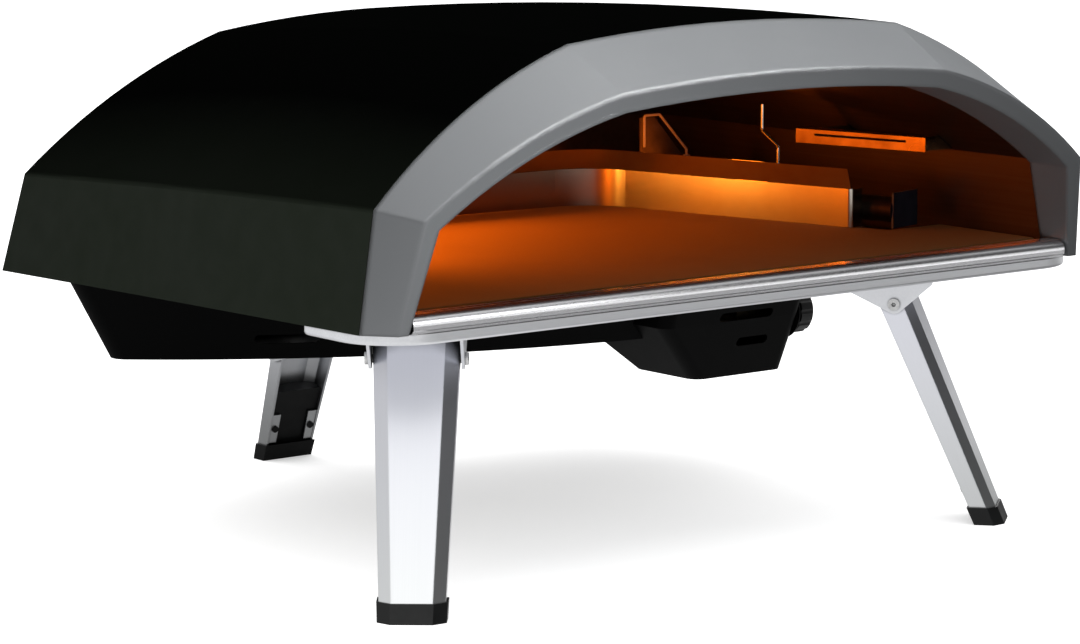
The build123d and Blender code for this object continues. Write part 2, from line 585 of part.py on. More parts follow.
# Mixer tube: drops from the burner through the deck, open to the jet below
with BuildPart() as mixer_tube:
    with BuildSketch(Plane.XY.offset(mixer_bottom)):
        with Locations((mixer_x, depth(mixer_y))):
            Circle(mixer_r)
            Circle(mixer_r - mixer_wall, mode=Mode.SUBTRACT)
    extrude(amount=burner_z - mixer_bottom)
    with Locations(Plane(origin=(mixer_x, depth(mixer_y), burner_z),
                         z_dir=(burner_side[0], burner_side[1], 0))):
        Cylinder(burner_r + stem_fit, 4 * mixer_r, mode=Mode.SUBTRACT)
mixer_tube.part.label = "mixer_tube"
export_step(mixer_tube.part, "parts/mixer_tube.step")

# Heat rail: slotted folded strip that runs along the front arm of the burner, on tabs to the right wall
_, _, rail_side = moved_turn(0.0)
rail_plane = Plane(origin=(rail_x, depth(rail_y), rail_z), x_dir=(-rail_side[1], rail_side[0], 0),
                   z_dir=(rail_side[0], rail_side[1], 0))
rail_face_plane = Plane(origin=(rail_x, depth(rail_y), rail_z), x_dir=(-rail_side[0], -rail_side[1], 0),
                        z_dir=(-rail_side[1], rail_side[0], 0))
with BuildPart() as heat_rail:
    with BuildSketch(rail_plane):
        with BuildLine():
            Polyline((0, -rail_drop), (0, 0), (rail_depth, 0), (rail_depth, -sheet), (sheet, -sheet),
                     (sheet, -rail_drop), close=True)
        make_face()
    extrude(amount=-rail_length)
    with BuildSketch(rail_face_plane):
        with Locations((rail_length / 2, -rail_slot_drop)):
            SlotOverall(rail_length - 2 * rail_slot_margin, rail_slot_w)
    extrude(amount=overrun, both=True, mode=Mode.SUBTRACT)
    for share in rail_tab_shares:
        tab_spot = rail_plane.offset(-share * rail_length).origin
        with BuildSketch(Plane.XZ.offset(-tab_spot.Y)):
            with Locations((tab_spot.X + sheet, rail_z - rail_drop)):
                Rectangle(rail_tab_reach, rail_drop, align=(Align.MIN, Align.MIN))
            add(arch_section("mouth", Plane.XY, seat_gap - liner_gap), mode=Mode.INTERSECT)
        extrude(amount=sheet)
heat_rail.part.label = "heat_rail"
export_step(heat_rail.part, "parts/heat_rail.step")

# Burner housing: shallow tub with a curved front wall and a deep box for the valve
rim_z = deck_z - sheet - seat_gap


def tub_face(height, left, mid, right_y, heel, inset):
    """Plan of the shallow tub at one height: arc in front, straight sides and back."""
    with BuildSketch(Plane.XY.offset(height)) as plan:
        with BuildLine():
            ThreePointArc((left[0], depth(left[1])), (mid[0], depth(mid[1])), (tub_right, depth(right_y)))
            Polyline((tub_right, depth(right_y)), (tub_right, depth(tub_corner_y)),
                     (tub_corner_x, depth(tub_back)), (heel, depth(tub_back)), (left[0], depth(left[1])))
        make_face()
        fillet(plan.vertices(), tub_round)
        if inset:
            offset(amount=-inset, kind=Kind.INTERSECTION, mode=Mode.REPLACE)
    return plan.sketch


def box_face(height, left, front, back, inset):
    """Plan of the deep box at one height."""
    with BuildSketch(Plane.XY.offset(height)) as plan:
        with Locations((tub_right, depth(front))):
            Rectangle(tub_right - left, back - front, align=(Align.MAX, Align.MIN))
        fillet(plan.vertices(), box_round)
        if inset:
            offset(amount=-inset, kind=Kind.INTERSECTION, mode=Mode.REPLACE)
    return plan.sketch


def tub_sections(inset, rise):
    """Bottom and rim plans of the shallow tub."""
    return [tub_face(tub_z + inset, (tub_left, tub_left_y), (tub_mid, tub_mid_y), tub_right_y, tub_heel, inset),
            tub_face(rim_z + rise, (rim_left, rim_left_y), (rim_mid, rim_mid_y), rim_right_y, rim_heel, inset)]


def box_sections(inset, rise):
    """Bottom, waist and rim plans of the deep box."""
    return [box_face(box_z + inset, box_left, box_front, box_back, inset),
            box_face(box_mid_z, box_mid_left, box_mid_front, box_mid_back, inset),
            box_face(rim_z + rise, box_top_left, box_top_front, box_top_back, inset)]


with BuildLine() as rim_arc:
    ThreePointArc((rim_left, depth(rim_left_y)), (rim_mid, depth(rim_mid_y)), (tub_right, depth(rim_right_y)))
flange_spots = []
for share in flange_shares:
    spot, run = rim_arc.line @ share, rim_arc.line % share
    flange_spots.append((spot.X + run.Y * flange / 2, spot.Y - run.X * flange / 2))
for spot_x in (box_top_left + flange, tub_right - 3 * flange):
    flange_spots.append((spot_x, depth(box_top_front - flange / 2)))

with BuildPart() as burner_housing:
    loft(tub_sections(0.0, 0.0), ruled=True)
    loft(box_sections(0.0, 0.0), ruled=True)
    with BuildSketch(Plane.XY.offset(rim_z - housing_wall)):
        add(tub_face(0.0, (rim_left, rim_left_y), (rim_mid, rim_mid_y), rim_right_y, rim_heel, -flange))
        add(box_face(0.0, box_top_left, box_top_front, box_top_back, -flange))
        with Locations((tub_right, depth(tub_back))):
            Rectangle(2 * tub_right, 2 * tub_back, align=(Align.MAX, Align.MAX), mode=Mode.INTERSECT)
        with Locations((tub_right, depth(tub_corner_y - flange))):
            Rectangle(tub_right - tub_corner_x + flange, tub_back, align=(Align.MAX, Align.MIN),
                      mode=Mode.SUBTRACT)
    extrude(amount=housing_wall)
    loft(tub_sections(housing_wall, 0.0), ruled=True, mode=Mode.SUBTRACT)
    loft(box_sections(housing_wall, 0.0), ruled=True, mode=Mode.SUBTRACT)
    for spot in flange_spots:
        with Locations((spot[0], spot[1], rim_z)):
            Cylinder(screw_r + bolt_fit, 4 * housing_wall, mode=Mode.SUBTRACT)
    with BuildSketch(Plane.XZ.offset(-depth(box_front + 2 * overrun))):
        with Locations((box_vent_x, box_vent_z)):
            SlotOverall(box_vent_width, vent_height)
        with Locations((low_vent_x, low_vent_z)):
            SlotOverall(low_vent_width, vent_height)
    extrude(amount=box_front - box_top_front + 4 * overrun, mode=Mode.SUBTRACT)
    side_vent_plane = Plane(origin=(side_vent_x, depth(side_vent_y), side_vent_z),
                            z_dir=(sin(radians(side_vent_turn)), -cos(radians(side_vent_turn)), 0))
    with BuildSketch(side_vent_plane):
        SlotOverall(side_vent_width, vent_height)
    extrude(amount=4 * overrun, both=True, mode=Mode.SUBTRACT)
    with BuildSketch(Plane.XZ.offset(-depth(tub_back + overrun))):
        with Locations((0, inlet_z)):
            with GridLocations(back_vent_pitch, 0, back_vent_count, 1):
                SlotOverall(back_vent_width, vent_height)
        with Locations((inlet_x, inlet_z)):
            Circle(inlet_r + seat_gap)
    extrude(amount=2 * overrun + housing_wall, mode=Mode.SUBTRACT)
    with BuildSketch(Plane.YZ.offset(tub_right - 2 * overrun)):
        with Locations((depth(knob_y), knob_z)):
            Circle(stem_r + seat_gap)
    extrude(amount=4 * overrun, mode=Mode.SUBTRACT)
burner_housing.part.label = "burner_housing"
export_step(burner_housing.part, "parts/burner_housing.step")

# Floor pan: flat pressing inside the shell, with a hole for the mixer tube
pan_half = seam_half - shell_wall - pan_gap
pan_tail_y = tail_ground + tail_slope * deck_z - pan_gap
pan_back_y = back_ground + back_slope * deck_z - shell_wall - pan_gap
with BuildPart() as floor_pan:
    with BuildSketch(Plane.XY.offset(deck_z - sheet)):
        with BuildLine():
            Polyline((-pan_half, depth(tray_back + seat_gap)), (pan_half, depth(tray_back + seat_gap)),
                     (pan_half, depth(pan_tail_y)), (back_half - pan_gap, depth(pan_back_y)),
                     (pan_gap - back_half, depth(pan_back_y)), (-pan_half, depth(pan_tail_y)), close=True)
        make_face()
        with Locations((0, depth(tray_front))):
            Rectangle(2 * (tray_neck_half + seat_gap), tray_neck_back - tray_front + seat_gap,
                      align=(Align.CENTER, Align.MIN), mode=Mode.SUBTRACT)
        with Locations((mixer_x, depth(mixer_y))):
            Circle(mixer_r + pan_hole_gap, mode=Mode.SUBTRACT)
        with Locations((electrode_x, depth(electrode_y)), (probe_x, depth(probe_y))):
            Circle(ceramic_r + pan_hole_gap, mode=Mode.SUBTRACT)
        with Locations(*flange_spots):
            Circle(screw_r + bolt_fit, mode=Mode.SUBTRACT)
    extrude(amount=sheet)
floor_pan.part.label = "floor_pan"
export_step(floor_pan.part, "parts/floor_pan.step")

# Housing screws: from below through the flange of the housing into the floor pan
with BuildPart() as housing_screws:
    for spot in flange_spots:
        with Locations((spot[0], spot[1], rim_z - housing_wall)):
            Cylinder(screw_r, screw_length, align=(Align.CENTER, Align.CENTER, Align.MIN))
            Cylinder(screw_head_r, screw_head_t, align=(Align.CENTER, Align.CENTER, Align.MAX))
    chamfer(housing_screws.edges().group_by(Axis.Z)[0], screw_head_t / 3)
housing_screws.part.label = "housing_screws"
export_step(housing_screws.part, "parts/housing_screws.step")

# Leg mount plates: flat pads under the tray, one for each front leg
plate_z = tray_z - plate_thick
with BuildPart() as leg_mount_plates:
    with BuildSketch(Plane.XY.offset(plate_z)) as plate_plan:
        with Locations((plate_outer, depth(plate_front)), (-plate_inner, depth(plate_front))):
            Rectangle(plate_outer - plate_inner, plate_back - plate_front, align=(Align.MAX, Align.MIN))
        chamfer(plate_plan.vertices(), plate_corner)
    extrude(amount=plate_thick)
leg_mount_plates.part.label = "leg_mount_plates"
export_step(leg_mount_plates.part, "parts/leg_mount_plates.step")


# Legs: each stands in a tilted frame at its hinge, X along the bolt and Y towards the oven


def section_points(half, face, deep, spread):
    """Outline of the leg channel, grown by the spread: face, two bevels and two sides."""
    outer = -leg_pin_depth - spread
    bevel = -leg_pin_depth + leg_bevel - spread / 2
    inner = -leg_pin_depth + deep + spread
    return ((-half - spread, inner), (-half - spread, bevel), (-face - spread / 2, outer),
            (face + spread / 2, outer), (half + spread, bevel), (half + spread, inner))


def channel_faces(frame, top, foot, top_size, foot_size, spread, inner_spread):
    """Top and foot faces of the leg channel; inner_spread moves the open side on its own."""
    faces = []
    for height, size in ((foot, foot_size), (top, top_size)):
        points = section_points(*size, spread)
        first = (points[0][0], points[0][1] + inner_spread)
        last = (points[-1][0], points[-1][1] + inner_spread)
        with BuildSketch(frame.offset(height)) as face:
            with BuildLine():
                Polyline(first, *points[1:-1], last, close=True)
            make_face()
        faces.append(face.sketch)
    return faces


leg_stations = {
    "front_left": ((-front_hinge_x, front_hinge_y, front_hinge_z), 180 + front_turn_deg, front_splay_deg,
                   (leg_top_half, leg_top_face, leg_top_deep), leg_over, plate_z, ear_inner, ear_outer),
    "front_right": ((front_hinge_x, front_hinge_y, front_hinge_z), 180 - front_turn_deg, front_splay_deg,
                    (leg_top_half, leg_top_face, leg_top_deep), leg_over, plate_z, ear_inner, ear_outer),
    "rear": ((0.0, rear_hinge_y, rear_hinge_z), 0.0, rear_splay_deg,
             (rear_leg_top_half, rear_leg_top_face, rear_leg_top_deep), rear_leg_over, tub_z,
             rear_ear_inner, rear_ear_outer),
}
foot_size = (leg_foot_half, leg_foot_face, leg_foot_deep)
for name, (pin, turn, splay, top_size, over, seat_z, inward, outward) in leg_stations.items():
    # Turn is measured from the back, clockwise seen from above
    out_x, out_y = sin(radians(turn)), cos(radians(turn))
    origin = (pin[0], depth(pin[1]), pin[2])
    along = (-out_y, out_x, 0)
    lean = sin(radians(splay))
    frame = Plane(origin=origin, x_dir=along, z_dir=(-out_x * lean, -out_y * lean, cos(radians(splay))))
    side_frame = Plane(origin=origin, x_dir=(-out_x, -out_y, 0), z_dir=along)
    foot = -(pin[2] + 3 * overrun) / cos(radians(splay))
    bolt_hole = bolt_r + bolt_fit
    cap_floor = cap_height / 4

    with BuildPart() as leg:
        loft(channel_faces(frame, over, foot, top_size, foot_size, 0.0, 0.0), ruled=True)
        loft(channel_faces(frame, over, foot, top_size, foot_size, -leg_wall, leg_wall + overrun),
             ruled=True, mode=Mode.SUBTRACT)
        tab_low = -(pin[2] - tab_lift) / cos(radians(splay))
        tab_share = (tab_low - foot) / (over - foot)
        tab_half = leg_foot_half + tab_share * (top_size[0] - leg_foot_half)
        tab_deep = leg_foot_deep + tab_share * (top_size[2] - leg_foot_deep)
        tab_x = tab_half - tab_width / 2 - seat_gap
        tab_y = tab_deep - leg_pin_depth - seat_gap
        for side in (-1, 1):
            with BuildSketch(frame.offset(tab_low)):
                with Locations((side * tab_x, tab_y)):
                    Rectangle(tab_width, leg_wall, align=(Align.CENTER, Align.MAX))
            extrude(amount=tab_height)
        with Locations(side_frame):
            Cylinder(bolt_hole, 4 * leg_top_half, mode=Mode.SUBTRACT)
        screw_spots = [frame * Location((side * (tab_x - screw_r / 2), tab_y, tab_low + tab_height / 2))
                       * Rotation(-90, 0, 0) for side in (-1, 1)]
        for spot in screw_spots:
            with Locations(spot):
                Cylinder(screw_r + bolt_fit, 4 * leg_wall, mode=Mode.SUBTRACT)
        split(bisect_by=Plane.XY.offset(cap_floor), keep=Keep.TOP)
    leg.part.label = f"{name}_leg"
    export_step(leg.part, f"parts/{name}_leg.step")

    # Foot cap: cup under the leg with an insert that fills the channel above it
    with BuildPart() as foot_cap:
        loft(channel_faces(frame, over, foot, top_size, foot_size, cap_wall + cap_gap, 0.0), ruled=True)
        split(bisect_by=Plane.XY, keep=Keep.TOP)
        split(bisect_by=Plane.XY.offset(cap_height), keep=Keep.BOTTOM)
    with BuildPart() as cap_space:
        loft(channel_faces(frame, over, foot, top_size, foot_size, cap_gap, 0.0), ruled=True)
        split(bisect_by=Plane.XY.offset(cap_floor - cap_gap), keep=Keep.TOP)
    with BuildPart() as cap_insert:
        loft(channel_faces(frame, over, foot, top_size, foot_size, -leg_wall - cap_gap, -tab_clear),
             ruled=True)
        split(bisect_by=Plane.XY.offset(cap_floor - 2 * cap_gap), keep=Keep.TOP)
        split(bisect_by=frame.offset(tab_low + insert_height - cap_floor), keep=Keep.BOTTOM)
        for spot in screw_spots:
            with Locations(spot):
                Cylinder(screw_r + bolt_fit, 2 * tab_screw_length, mode=Mode.SUBTRACT)
    with foot_cap:
        add(cap_space.part, mode=Mode.SUBTRACT)
        add(cap_insert.part)
    foot_cap.part.label = f"{name}_foot_cap"
    export_step(foot_cap.part, f"parts/{name}_foot_cap.step")

    with BuildPart() as foot_screws:
        for spot in screw_spots:
            with Locations(spot):
                Cylinder(screw_r, tab_screw_length, align=(Align.CENTER, Align.CENTER, Align.MAX))
                Cylinder(tab_screw_r, tab_screw_head, align=(Align.CENTER, Align.CENTER, Align.MIN))
    foot_screws.part.label = f"{name}_foot_screws"
    export_step(foot_screws.part, f"parts/{name}_foot_screws.step")

    # Bracket: folded sheet with two ears that taper down to the bolt
    top = seat_z - pin[2]
    ear_x = top_size[0] + ear_gap
    with BuildPart() as bracket:
        for side in (-1, 1):
            with BuildSketch(side_frame.offset(side * (ear_x + ear_thick / 2))) as ear:
                Circle(ear_round)
                with BuildLine():
                    Polyline((-outward, top), (inward, top), (inward, top - ear_inner_drop),
                             (-outward, top - ear_outer_drop), close=True)
                make_face()
                make_hull()
            extrude(amount=ear_thick / 2, both=True)
        with BuildSketch(side_frame.offset(-ear_x)):
            with Locations(((inward - outward) / 2, top)):
                Rectangle(inward + outward, ear_thick, align=(Align.CENTER, Align.MAX))
        extrude(amount=2 * ear_x)
        with Locations(side_frame):
            Cylinder(bolt_hole, 4 * leg_top_half, mode=Mode.SUBTRACT)
    bracket.part.label = f"{name}_bracket"
    export_step(bracket.part, f"parts/{name}_bracket.step")

    # Hinge bolt: shank through both ears with a hexagon socket head on each end
    reach = ear_x + ear_thick + bolt_fit
    with BuildPart() as bolt:
        with Locations(side_frame):
            Cylinder(bolt_r, 2 * reach)
        for side in (-1, 1):
            with BuildSketch(side_frame.offset(side * reach)):
                Circle(bolt_head_r)
            extrude(amount=side * bolt_head)
        chamfer(bolt.edges().filter_by(GeomType.CIRCLE).group_by(Axis((0, 0, 0), along))[-1], bolt_fit * 10)
        for side in (-1, 1):
            with BuildSketch(side_frame.offset(side * (reach + bolt_head))):
                RegularPolygon(hex_across / 2, 6, major_radius=False)
            extrude(amount=-side * hex_deep, mode=Mode.SUBTRACT)
    bolt.part.label = f"{name}_hinge_bolt"
    export_step(bolt.part, f"parts/{name}_hinge_bolt.step")

# Gas valve: turned brass body on the inside of the deep box, bored for the stem
valve_front = tub_right - housing_wall - seat_gap
valve_plane = Plane(origin=(valve_front, depth(knob_y), knob_z), x_dir=(0, 1, 0), z_dir=(1, 0, 0))
with BuildPart() as gas_valve:
    with BuildSketch(valve_plane):
        Circle(valve_collar_r)
    extrude(amount=-valve_collar)
    with BuildSketch(valve_plane.offset(-valve_collar)):
        RegularPolygon(valve_r, 6, major_radius=False, rotation=30)
    extrude(amount=valve_collar - valve_length)
    with BuildSketch(valve_plane):
        Circle(stem_r + stem_fit)
    extrude(amount=stem_root - valve_front, mode=Mode.SUBTRACT)
gas_valve.part.label = "gas_valve"
export_step(gas_valve.part, "parts/gas_valve.step")

# Valve stem: round shaft with a flat where the knob slides on it
knob_back = tub_right + knob_stand
stem_end = tub_right + stem_tip
with BuildPart() as valve_stem:
    with BuildSketch(valve_plane.offset(stem_root + seat_gap - valve_front)):
        Circle(stem_r)
    extrude(amount=stem_end - stem_root - seat_gap)
    with BuildSketch(valve_plane.offset(knob_back - knob_travel - valve_front)):
        with Locations((0, stem_r)):
            Rectangle(2 * stem_r, 2 * stem_flat)
    extrude(amount=stem_end, mode=Mode.SUBTRACT)
valve_stem.part.label = "valve_stem"
export_step(valve_stem.part, "parts/valve_stem.step")

# Knob bezel: thin ring on the side of the deep box
bezel_plane = Plane(origin=(tub_right, depth(knob_y), knob_z), x_dir=(0, 1, 0), z_dir=(1, 0, 0))
with BuildPart() as knob_bezel:
    with BuildSketch(bezel_plane):
        Circle(bezel_r)
        Circle(stem_r + seat_gap, mode=Mode.SUBTRACT)
    extrude(amount=bezel_t)
    chamfer(knob_bezel.edges().group_by(Axis.X)[-1].sort_by(SortBy.LENGTH)[-1], bezel_t / 2)
knob_bezel.part.label = "knob_bezel"
export_step(knob_bezel.part, "parts/knob_bezel.step")

# Control knob: scalloped edge, dished face with a grip bar, and a bore with a flat for the stem
knob_plane = bezel_plane.offset(knob_stand)
bore_r = stem_r + stem_fit
with BuildPart() as control_knob:
    with BuildSketch(knob_plane):
        Circle(knob_r)
    extrude(amount=knob_length)
    chamfer(control_knob.edges().group_by(Axis.X)[-1], knob_round)
    with BuildSketch(knob_plane.offset(knob_length - knob_dish)):
        Circle(knob_r - knob_grip_r)
        Rectangle(knob_bar, 2 * knob_r, mode=Mode.SUBTRACT)
    extrude(amount=2 * knob_dish, mode=Mode.SUBTRACT)
    with BuildSketch(knob_plane):
        with PolarLocations(knob_r + knob_grip_r * 2 / 3, knob_grip):
            Circle(knob_grip_r)
    extrude(amount=knob_length, mode=Mode.SUBTRACT)
    with BuildSketch(knob_plane):
        Circle(bore_r)
        with Locations((0, stem_r)):
            Rectangle(2 * bore_r, 2 * (stem_flat - stem_fit), mode=Mode.SUBTRACT)
    extrude(amount=stem_end + knob_travel + 2 * stem_fit - knob_back, mode=Mode.SUBTRACT)
control_knob.part.label = "control_knob"
export_step(control_knob.part, "parts/control_knob.step")

# Jet elbow: brass arm from the valve to the foot of the jet
jet_base = mixer_bottom + jet_inside - jet_length
with BuildPart() as jet_elbow:
    with BuildSketch(valve_plane.offset(-valve_length)):
        Circle(elbow_r)
    extrude(amount=mixer_x - valve_front + valve_length)
    with BuildSketch(Plane.XY.offset(knob_z - elbow_r)):
        with Locations((mixer_x, depth(mixer_y))):
            Circle(elbow_r + liner_wall)
    extrude(amount=jet_base - knob_z + elbow_r)
jet_elbow.part.label = "jet_elbow"
export_step(jet_elbow.part, "parts/jet_elbow.step")

# Gas jet: bored brass nozzle whose tip stands inside the foot of the mixer tube
with BuildPart() as gas_jet:
    with BuildSketch(Plane.XY.offset(jet_base)):
        with Locations((mixer_x, depth(mixer_y))):
            Circle(jet_r)
    extrude(amount=jet_length)
    chamfer(gas_jet.faces().sort_by(Axis.Z)[-1].edges(), jet_r / 3)
    with Locations((mixer_x, depth(mixer_y), jet_base)):
        Cylinder(jet_bore, 2 * jet_length, mode=Mode.SUBTRACT)
gas_jet.part.label = "gas_jet"
export_step(gas_jet.part, "parts/gas_jet.step")

# Gas inlet: threaded nipple through the back wall with a hexagon inside
inlet_plane = Plane(origin=(inlet_x, depth(tub_back - housing_wall), inlet_z), x_dir=(1, 0, 0),
                    z_dir=(0, 1, 0))
with BuildPart() as gas_inlet:
    with BuildSketch(inlet_plane):
        Circle(inlet_r - seat_gap)
    extrude(amount=housing_wall + seat_gap)
    with BuildSketch(inlet_plane.offset(housing_wall + seat_gap)):
        Circle(inlet_r)
    extrude(amount=inlet_length)
    with BuildSketch(inlet_plane):
        RegularPolygon(inlet_hex / 2, 6, major_radius=False)
    extrude(amount=-inlet_hex / 3)
    with BuildSketch(inlet_plane.offset(-inlet_hex)):
        Circle(inlet_bore)
    extrude(amount=2 * inlet_hex + inlet_length, mode=Mode.SUBTRACT)
gas_inlet.part.label = "gas_inlet"
export_step(gas_inlet.part, "parts/gas_inlet.step")

# Gas pipe: bent tube from the inlet to the side of the valve
pipe_x = valve_front - valve_length / 2
pipe_start = (pipe_x, depth(knob_y) + valve_r, knob_z)
with BuildPart() as gas_pipe:
    with BuildLine() as pipe_path:
        FilletPolyline(pipe_start, (pipe_x, depth(pipe_low_y), knob_z),
                       (inlet_x, depth(pipe_high_y), inlet_z),
                       (inlet_x, depth(tub_back - housing_wall) - inlet_hex / 3 - seat_gap, inlet_z),
                       radius=pipe_bend)
    with BuildSketch(Plane(origin=pipe_path.line @ 0, z_dir=pipe_path.line % 0)):
        Circle(pipe_r)
        Circle(pipe_bore, mode=Mode.SUBTRACT)
    sweep()
gas_pipe.part.label = "gas_pipe"
export_step(gas_pipe.part, "parts/gas_pipe.step")

# Igniter electrode: ceramic rod through the deck, with a thin wire that bends over the burner
wire_low, wire_high = ceramic_top + 4 * tip_r, bracket_foot + bracket_height + tip_over
with BuildPart() as igniter_electrode:
    with BuildSketch(Plane.XY.offset(ceramic_bottom)):
        with Locations((electrode_x, depth(electrode_y))):
            Circle(ceramic_r)
    extrude(amount=ceramic_top - ceramic_bottom)
    chamfer(igniter_electrode.faces().sort_by(Axis.Z)[-1].edges(), ceramic_r / 3)
    with BuildLine() as wire_path:
        FilletPolyline((electrode_x, depth(electrode_y), ceramic_top - tip_r),
                       (electrode_x, depth(electrode_y), wire_low),
                       (bracket_left + bracket_top + tip_over, depth(electrode_y), wire_high),
                       (bracket_left + tip_r, depth(electrode_y), wire_high),
                       (bracket_left + tip_r, depth(electrode_y), wire_high - tip_down), radius=2 * tip_r)
    with BuildSketch(Plane(origin=wire_path.line @ 0, z_dir=wire_path.line % 0)):
        Circle(tip_r)
    sweep()
igniter_electrode.part.label = "igniter_electrode"
export_step(igniter_electrode.part, "parts/igniter_electrode.step")

# Electrode bracket: upright sheet with one slanting side behind the electrode, on a folded foot
bracket_right = bracket_left + bracket_width
bracket_head = bracket_foot + bracket_height
with BuildPart() as electrode_bracket:
    with BuildSketch(Plane.XZ.offset(-depth(bracket_y))):
        with BuildLine():
            Polyline((bracket_left, bracket_foot), (bracket_left, bracket_head),
                     (bracket_left + bracket_top, bracket_head), (bracket_right, bracket_foot), close=True)
        make_face()
        with Locations((bracket_right, foot_z)):
            Rectangle(bracket_leg, bracket_foot - foot_z, align=(Align.MAX, Align.MIN))
    extrude(amount=-bracket_sheet)
    with BuildSketch(Plane.XY.offset(foot_z)):
        with Locations((bracket_right, depth(bracket_y))):
            Rectangle(bracket_leg, bracket_leg, align=(Align.MAX, Align.MIN))
    extrude(amount=bracket_sheet)
electrode_bracket.part.label = "electrode_bracket"
export_step(electrode_bracket.part, "parts/electrode_bracket.step")

# Flame probe: thin rod that stands beside the burner and kinks over it
low_knee, high_knee = [deck_z + share * probe_rise for share in probe_knee_shares]
with BuildPart() as flame_probe:
    with BuildSketch(Plane.XY.offset(deck_z - sheet)):
        with Locations((probe_x, depth(probe_y))):
            Circle(ceramic_r + pan_hole_gap / 2)
    extrude(amount=2 * sheet)
    with BuildLine() as probe_path:
        FilletPolyline((probe_x, depth(probe_y), deck_z), (probe_x, depth(probe_y), low_knee),
                       (probe_x - probe_jog, depth(probe_y), high_knee),
                       (probe_x - probe_jog, depth(probe_y), deck_z + probe_rise), radius=probe_bend)
    with BuildSketch(Plane(origin=probe_path.line @ 0, z_dir=probe_path.line % 0)):
        Circle(probe_r)
    sweep()
flame_probe.part.label = "flame_probe"
export_step(flame_probe.part, "parts/flame_probe.step")

# Spark unit: small moulded box on the floor of the housing
spark_z = tub_z + housing_wall
with BuildPart() as spark_unit:
    with BuildSketch(Plane.XY.offset(spark_z)):
        with Locations((spark_x, depth(spark_y))):
            RectangleRounded(spark_length, spark_width, spark_round)
    extrude(amount=spark_height)
    chamfer(spark_unit.faces().sort_by(Axis.Z)[-1].edges(), spark_round / 2)
spark_unit.part.label = "spark_unit"
export_step(spark_unit.part, "parts/spark_unit.step")

# Spark lead: from the unit along the housing and up to the foot of the electrode
lead_z, lead_high_z = spark_z + spark_height / 2, ceramic_bottom - 2 * lead_bend
with BuildPart() as spark_lead:
    with BuildLine() as lead_path:
        FilletPolyline((spark_x + spark_length / 2 + seat_gap + joint_gap, depth(spark_y), lead_z),
                       (electrode_x - 2 * lead_bend, depth(spark_y), lead_high_z),
                       (electrode_x, depth(electrode_y), lead_high_z),
                       (electrode_x, depth(electrode_y), ceramic_bottom - seat_gap), radius=lead_bend)
    with BuildSketch(Plane(origin=lead_path.line @ 0, z_dir=lead_path.line % 0)):
        Circle(lead_r)
    sweep()
spark_lead.part.label = "spark_lead"
export_step(spark_lead.part, "parts/spark_lead.step")
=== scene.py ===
from math import cos, radians, sin

import bpy
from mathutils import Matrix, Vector

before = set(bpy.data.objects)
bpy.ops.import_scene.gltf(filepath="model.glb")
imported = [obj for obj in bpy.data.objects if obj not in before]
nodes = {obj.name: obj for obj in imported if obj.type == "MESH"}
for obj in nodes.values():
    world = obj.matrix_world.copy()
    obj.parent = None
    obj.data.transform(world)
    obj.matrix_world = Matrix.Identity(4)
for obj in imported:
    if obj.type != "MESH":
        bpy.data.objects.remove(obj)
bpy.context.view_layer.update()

# The photograph's camera in metres, with its depth counted from the line of the mouth, and its lens in mm
MOUTH_Y = -0.23491
CAMERA_AT = (-1.73686, MOUTH_Y - 1.98502, 0.57608)
CAMERA_SIGHT = (0.61519, 0.77347, -0.15262)
CAMERA_LENS, CAMERA_SENSOR = 132.14, 36.0
CAMERA_NEAR = 0.05

X_AXIS, Y_AXIS, Z_AXIS = (1, 0, 0), (0, 1, 0), (0, 0, 1)
LONGWAYS, INWARDS = (X_AXIS, Y_AXIS, Z_AXIS), (Y_AXIS, X_AXIS, Z_AXIS)
WHITE = (1, 1, 1, 1)

# The part of its range that a noise mostly stays in
NOISE_LOW, NOISE_HIGH = 0.3, 0.7
# Places of a Mix node's two inputs and of its output, for each kind of value
MIX_PLACES = {"FLOAT": (2, 3, 0), "RGBA": (6, 7, 2)}
# How far off a gap's sides painted shade darkens sheet metal, a small piece and a leg
PAINTED_SHADE_DISTANCE, SMALL_PAINTED_SHADE_DISTANCE, LEG_PAINTED_SHADE_DISTANCE = 0.005, 0.003, 0.02
# How open a gap is where its painted shade is darkest and where the colour is plain, and the painted shade's
# darkest grey
PAINTED_SHADE_SPAN, PAINTED_SHADE_GREY = (0.25, 0.8), 0.01


def grey(level):
    return (level, level, level, 1.0)


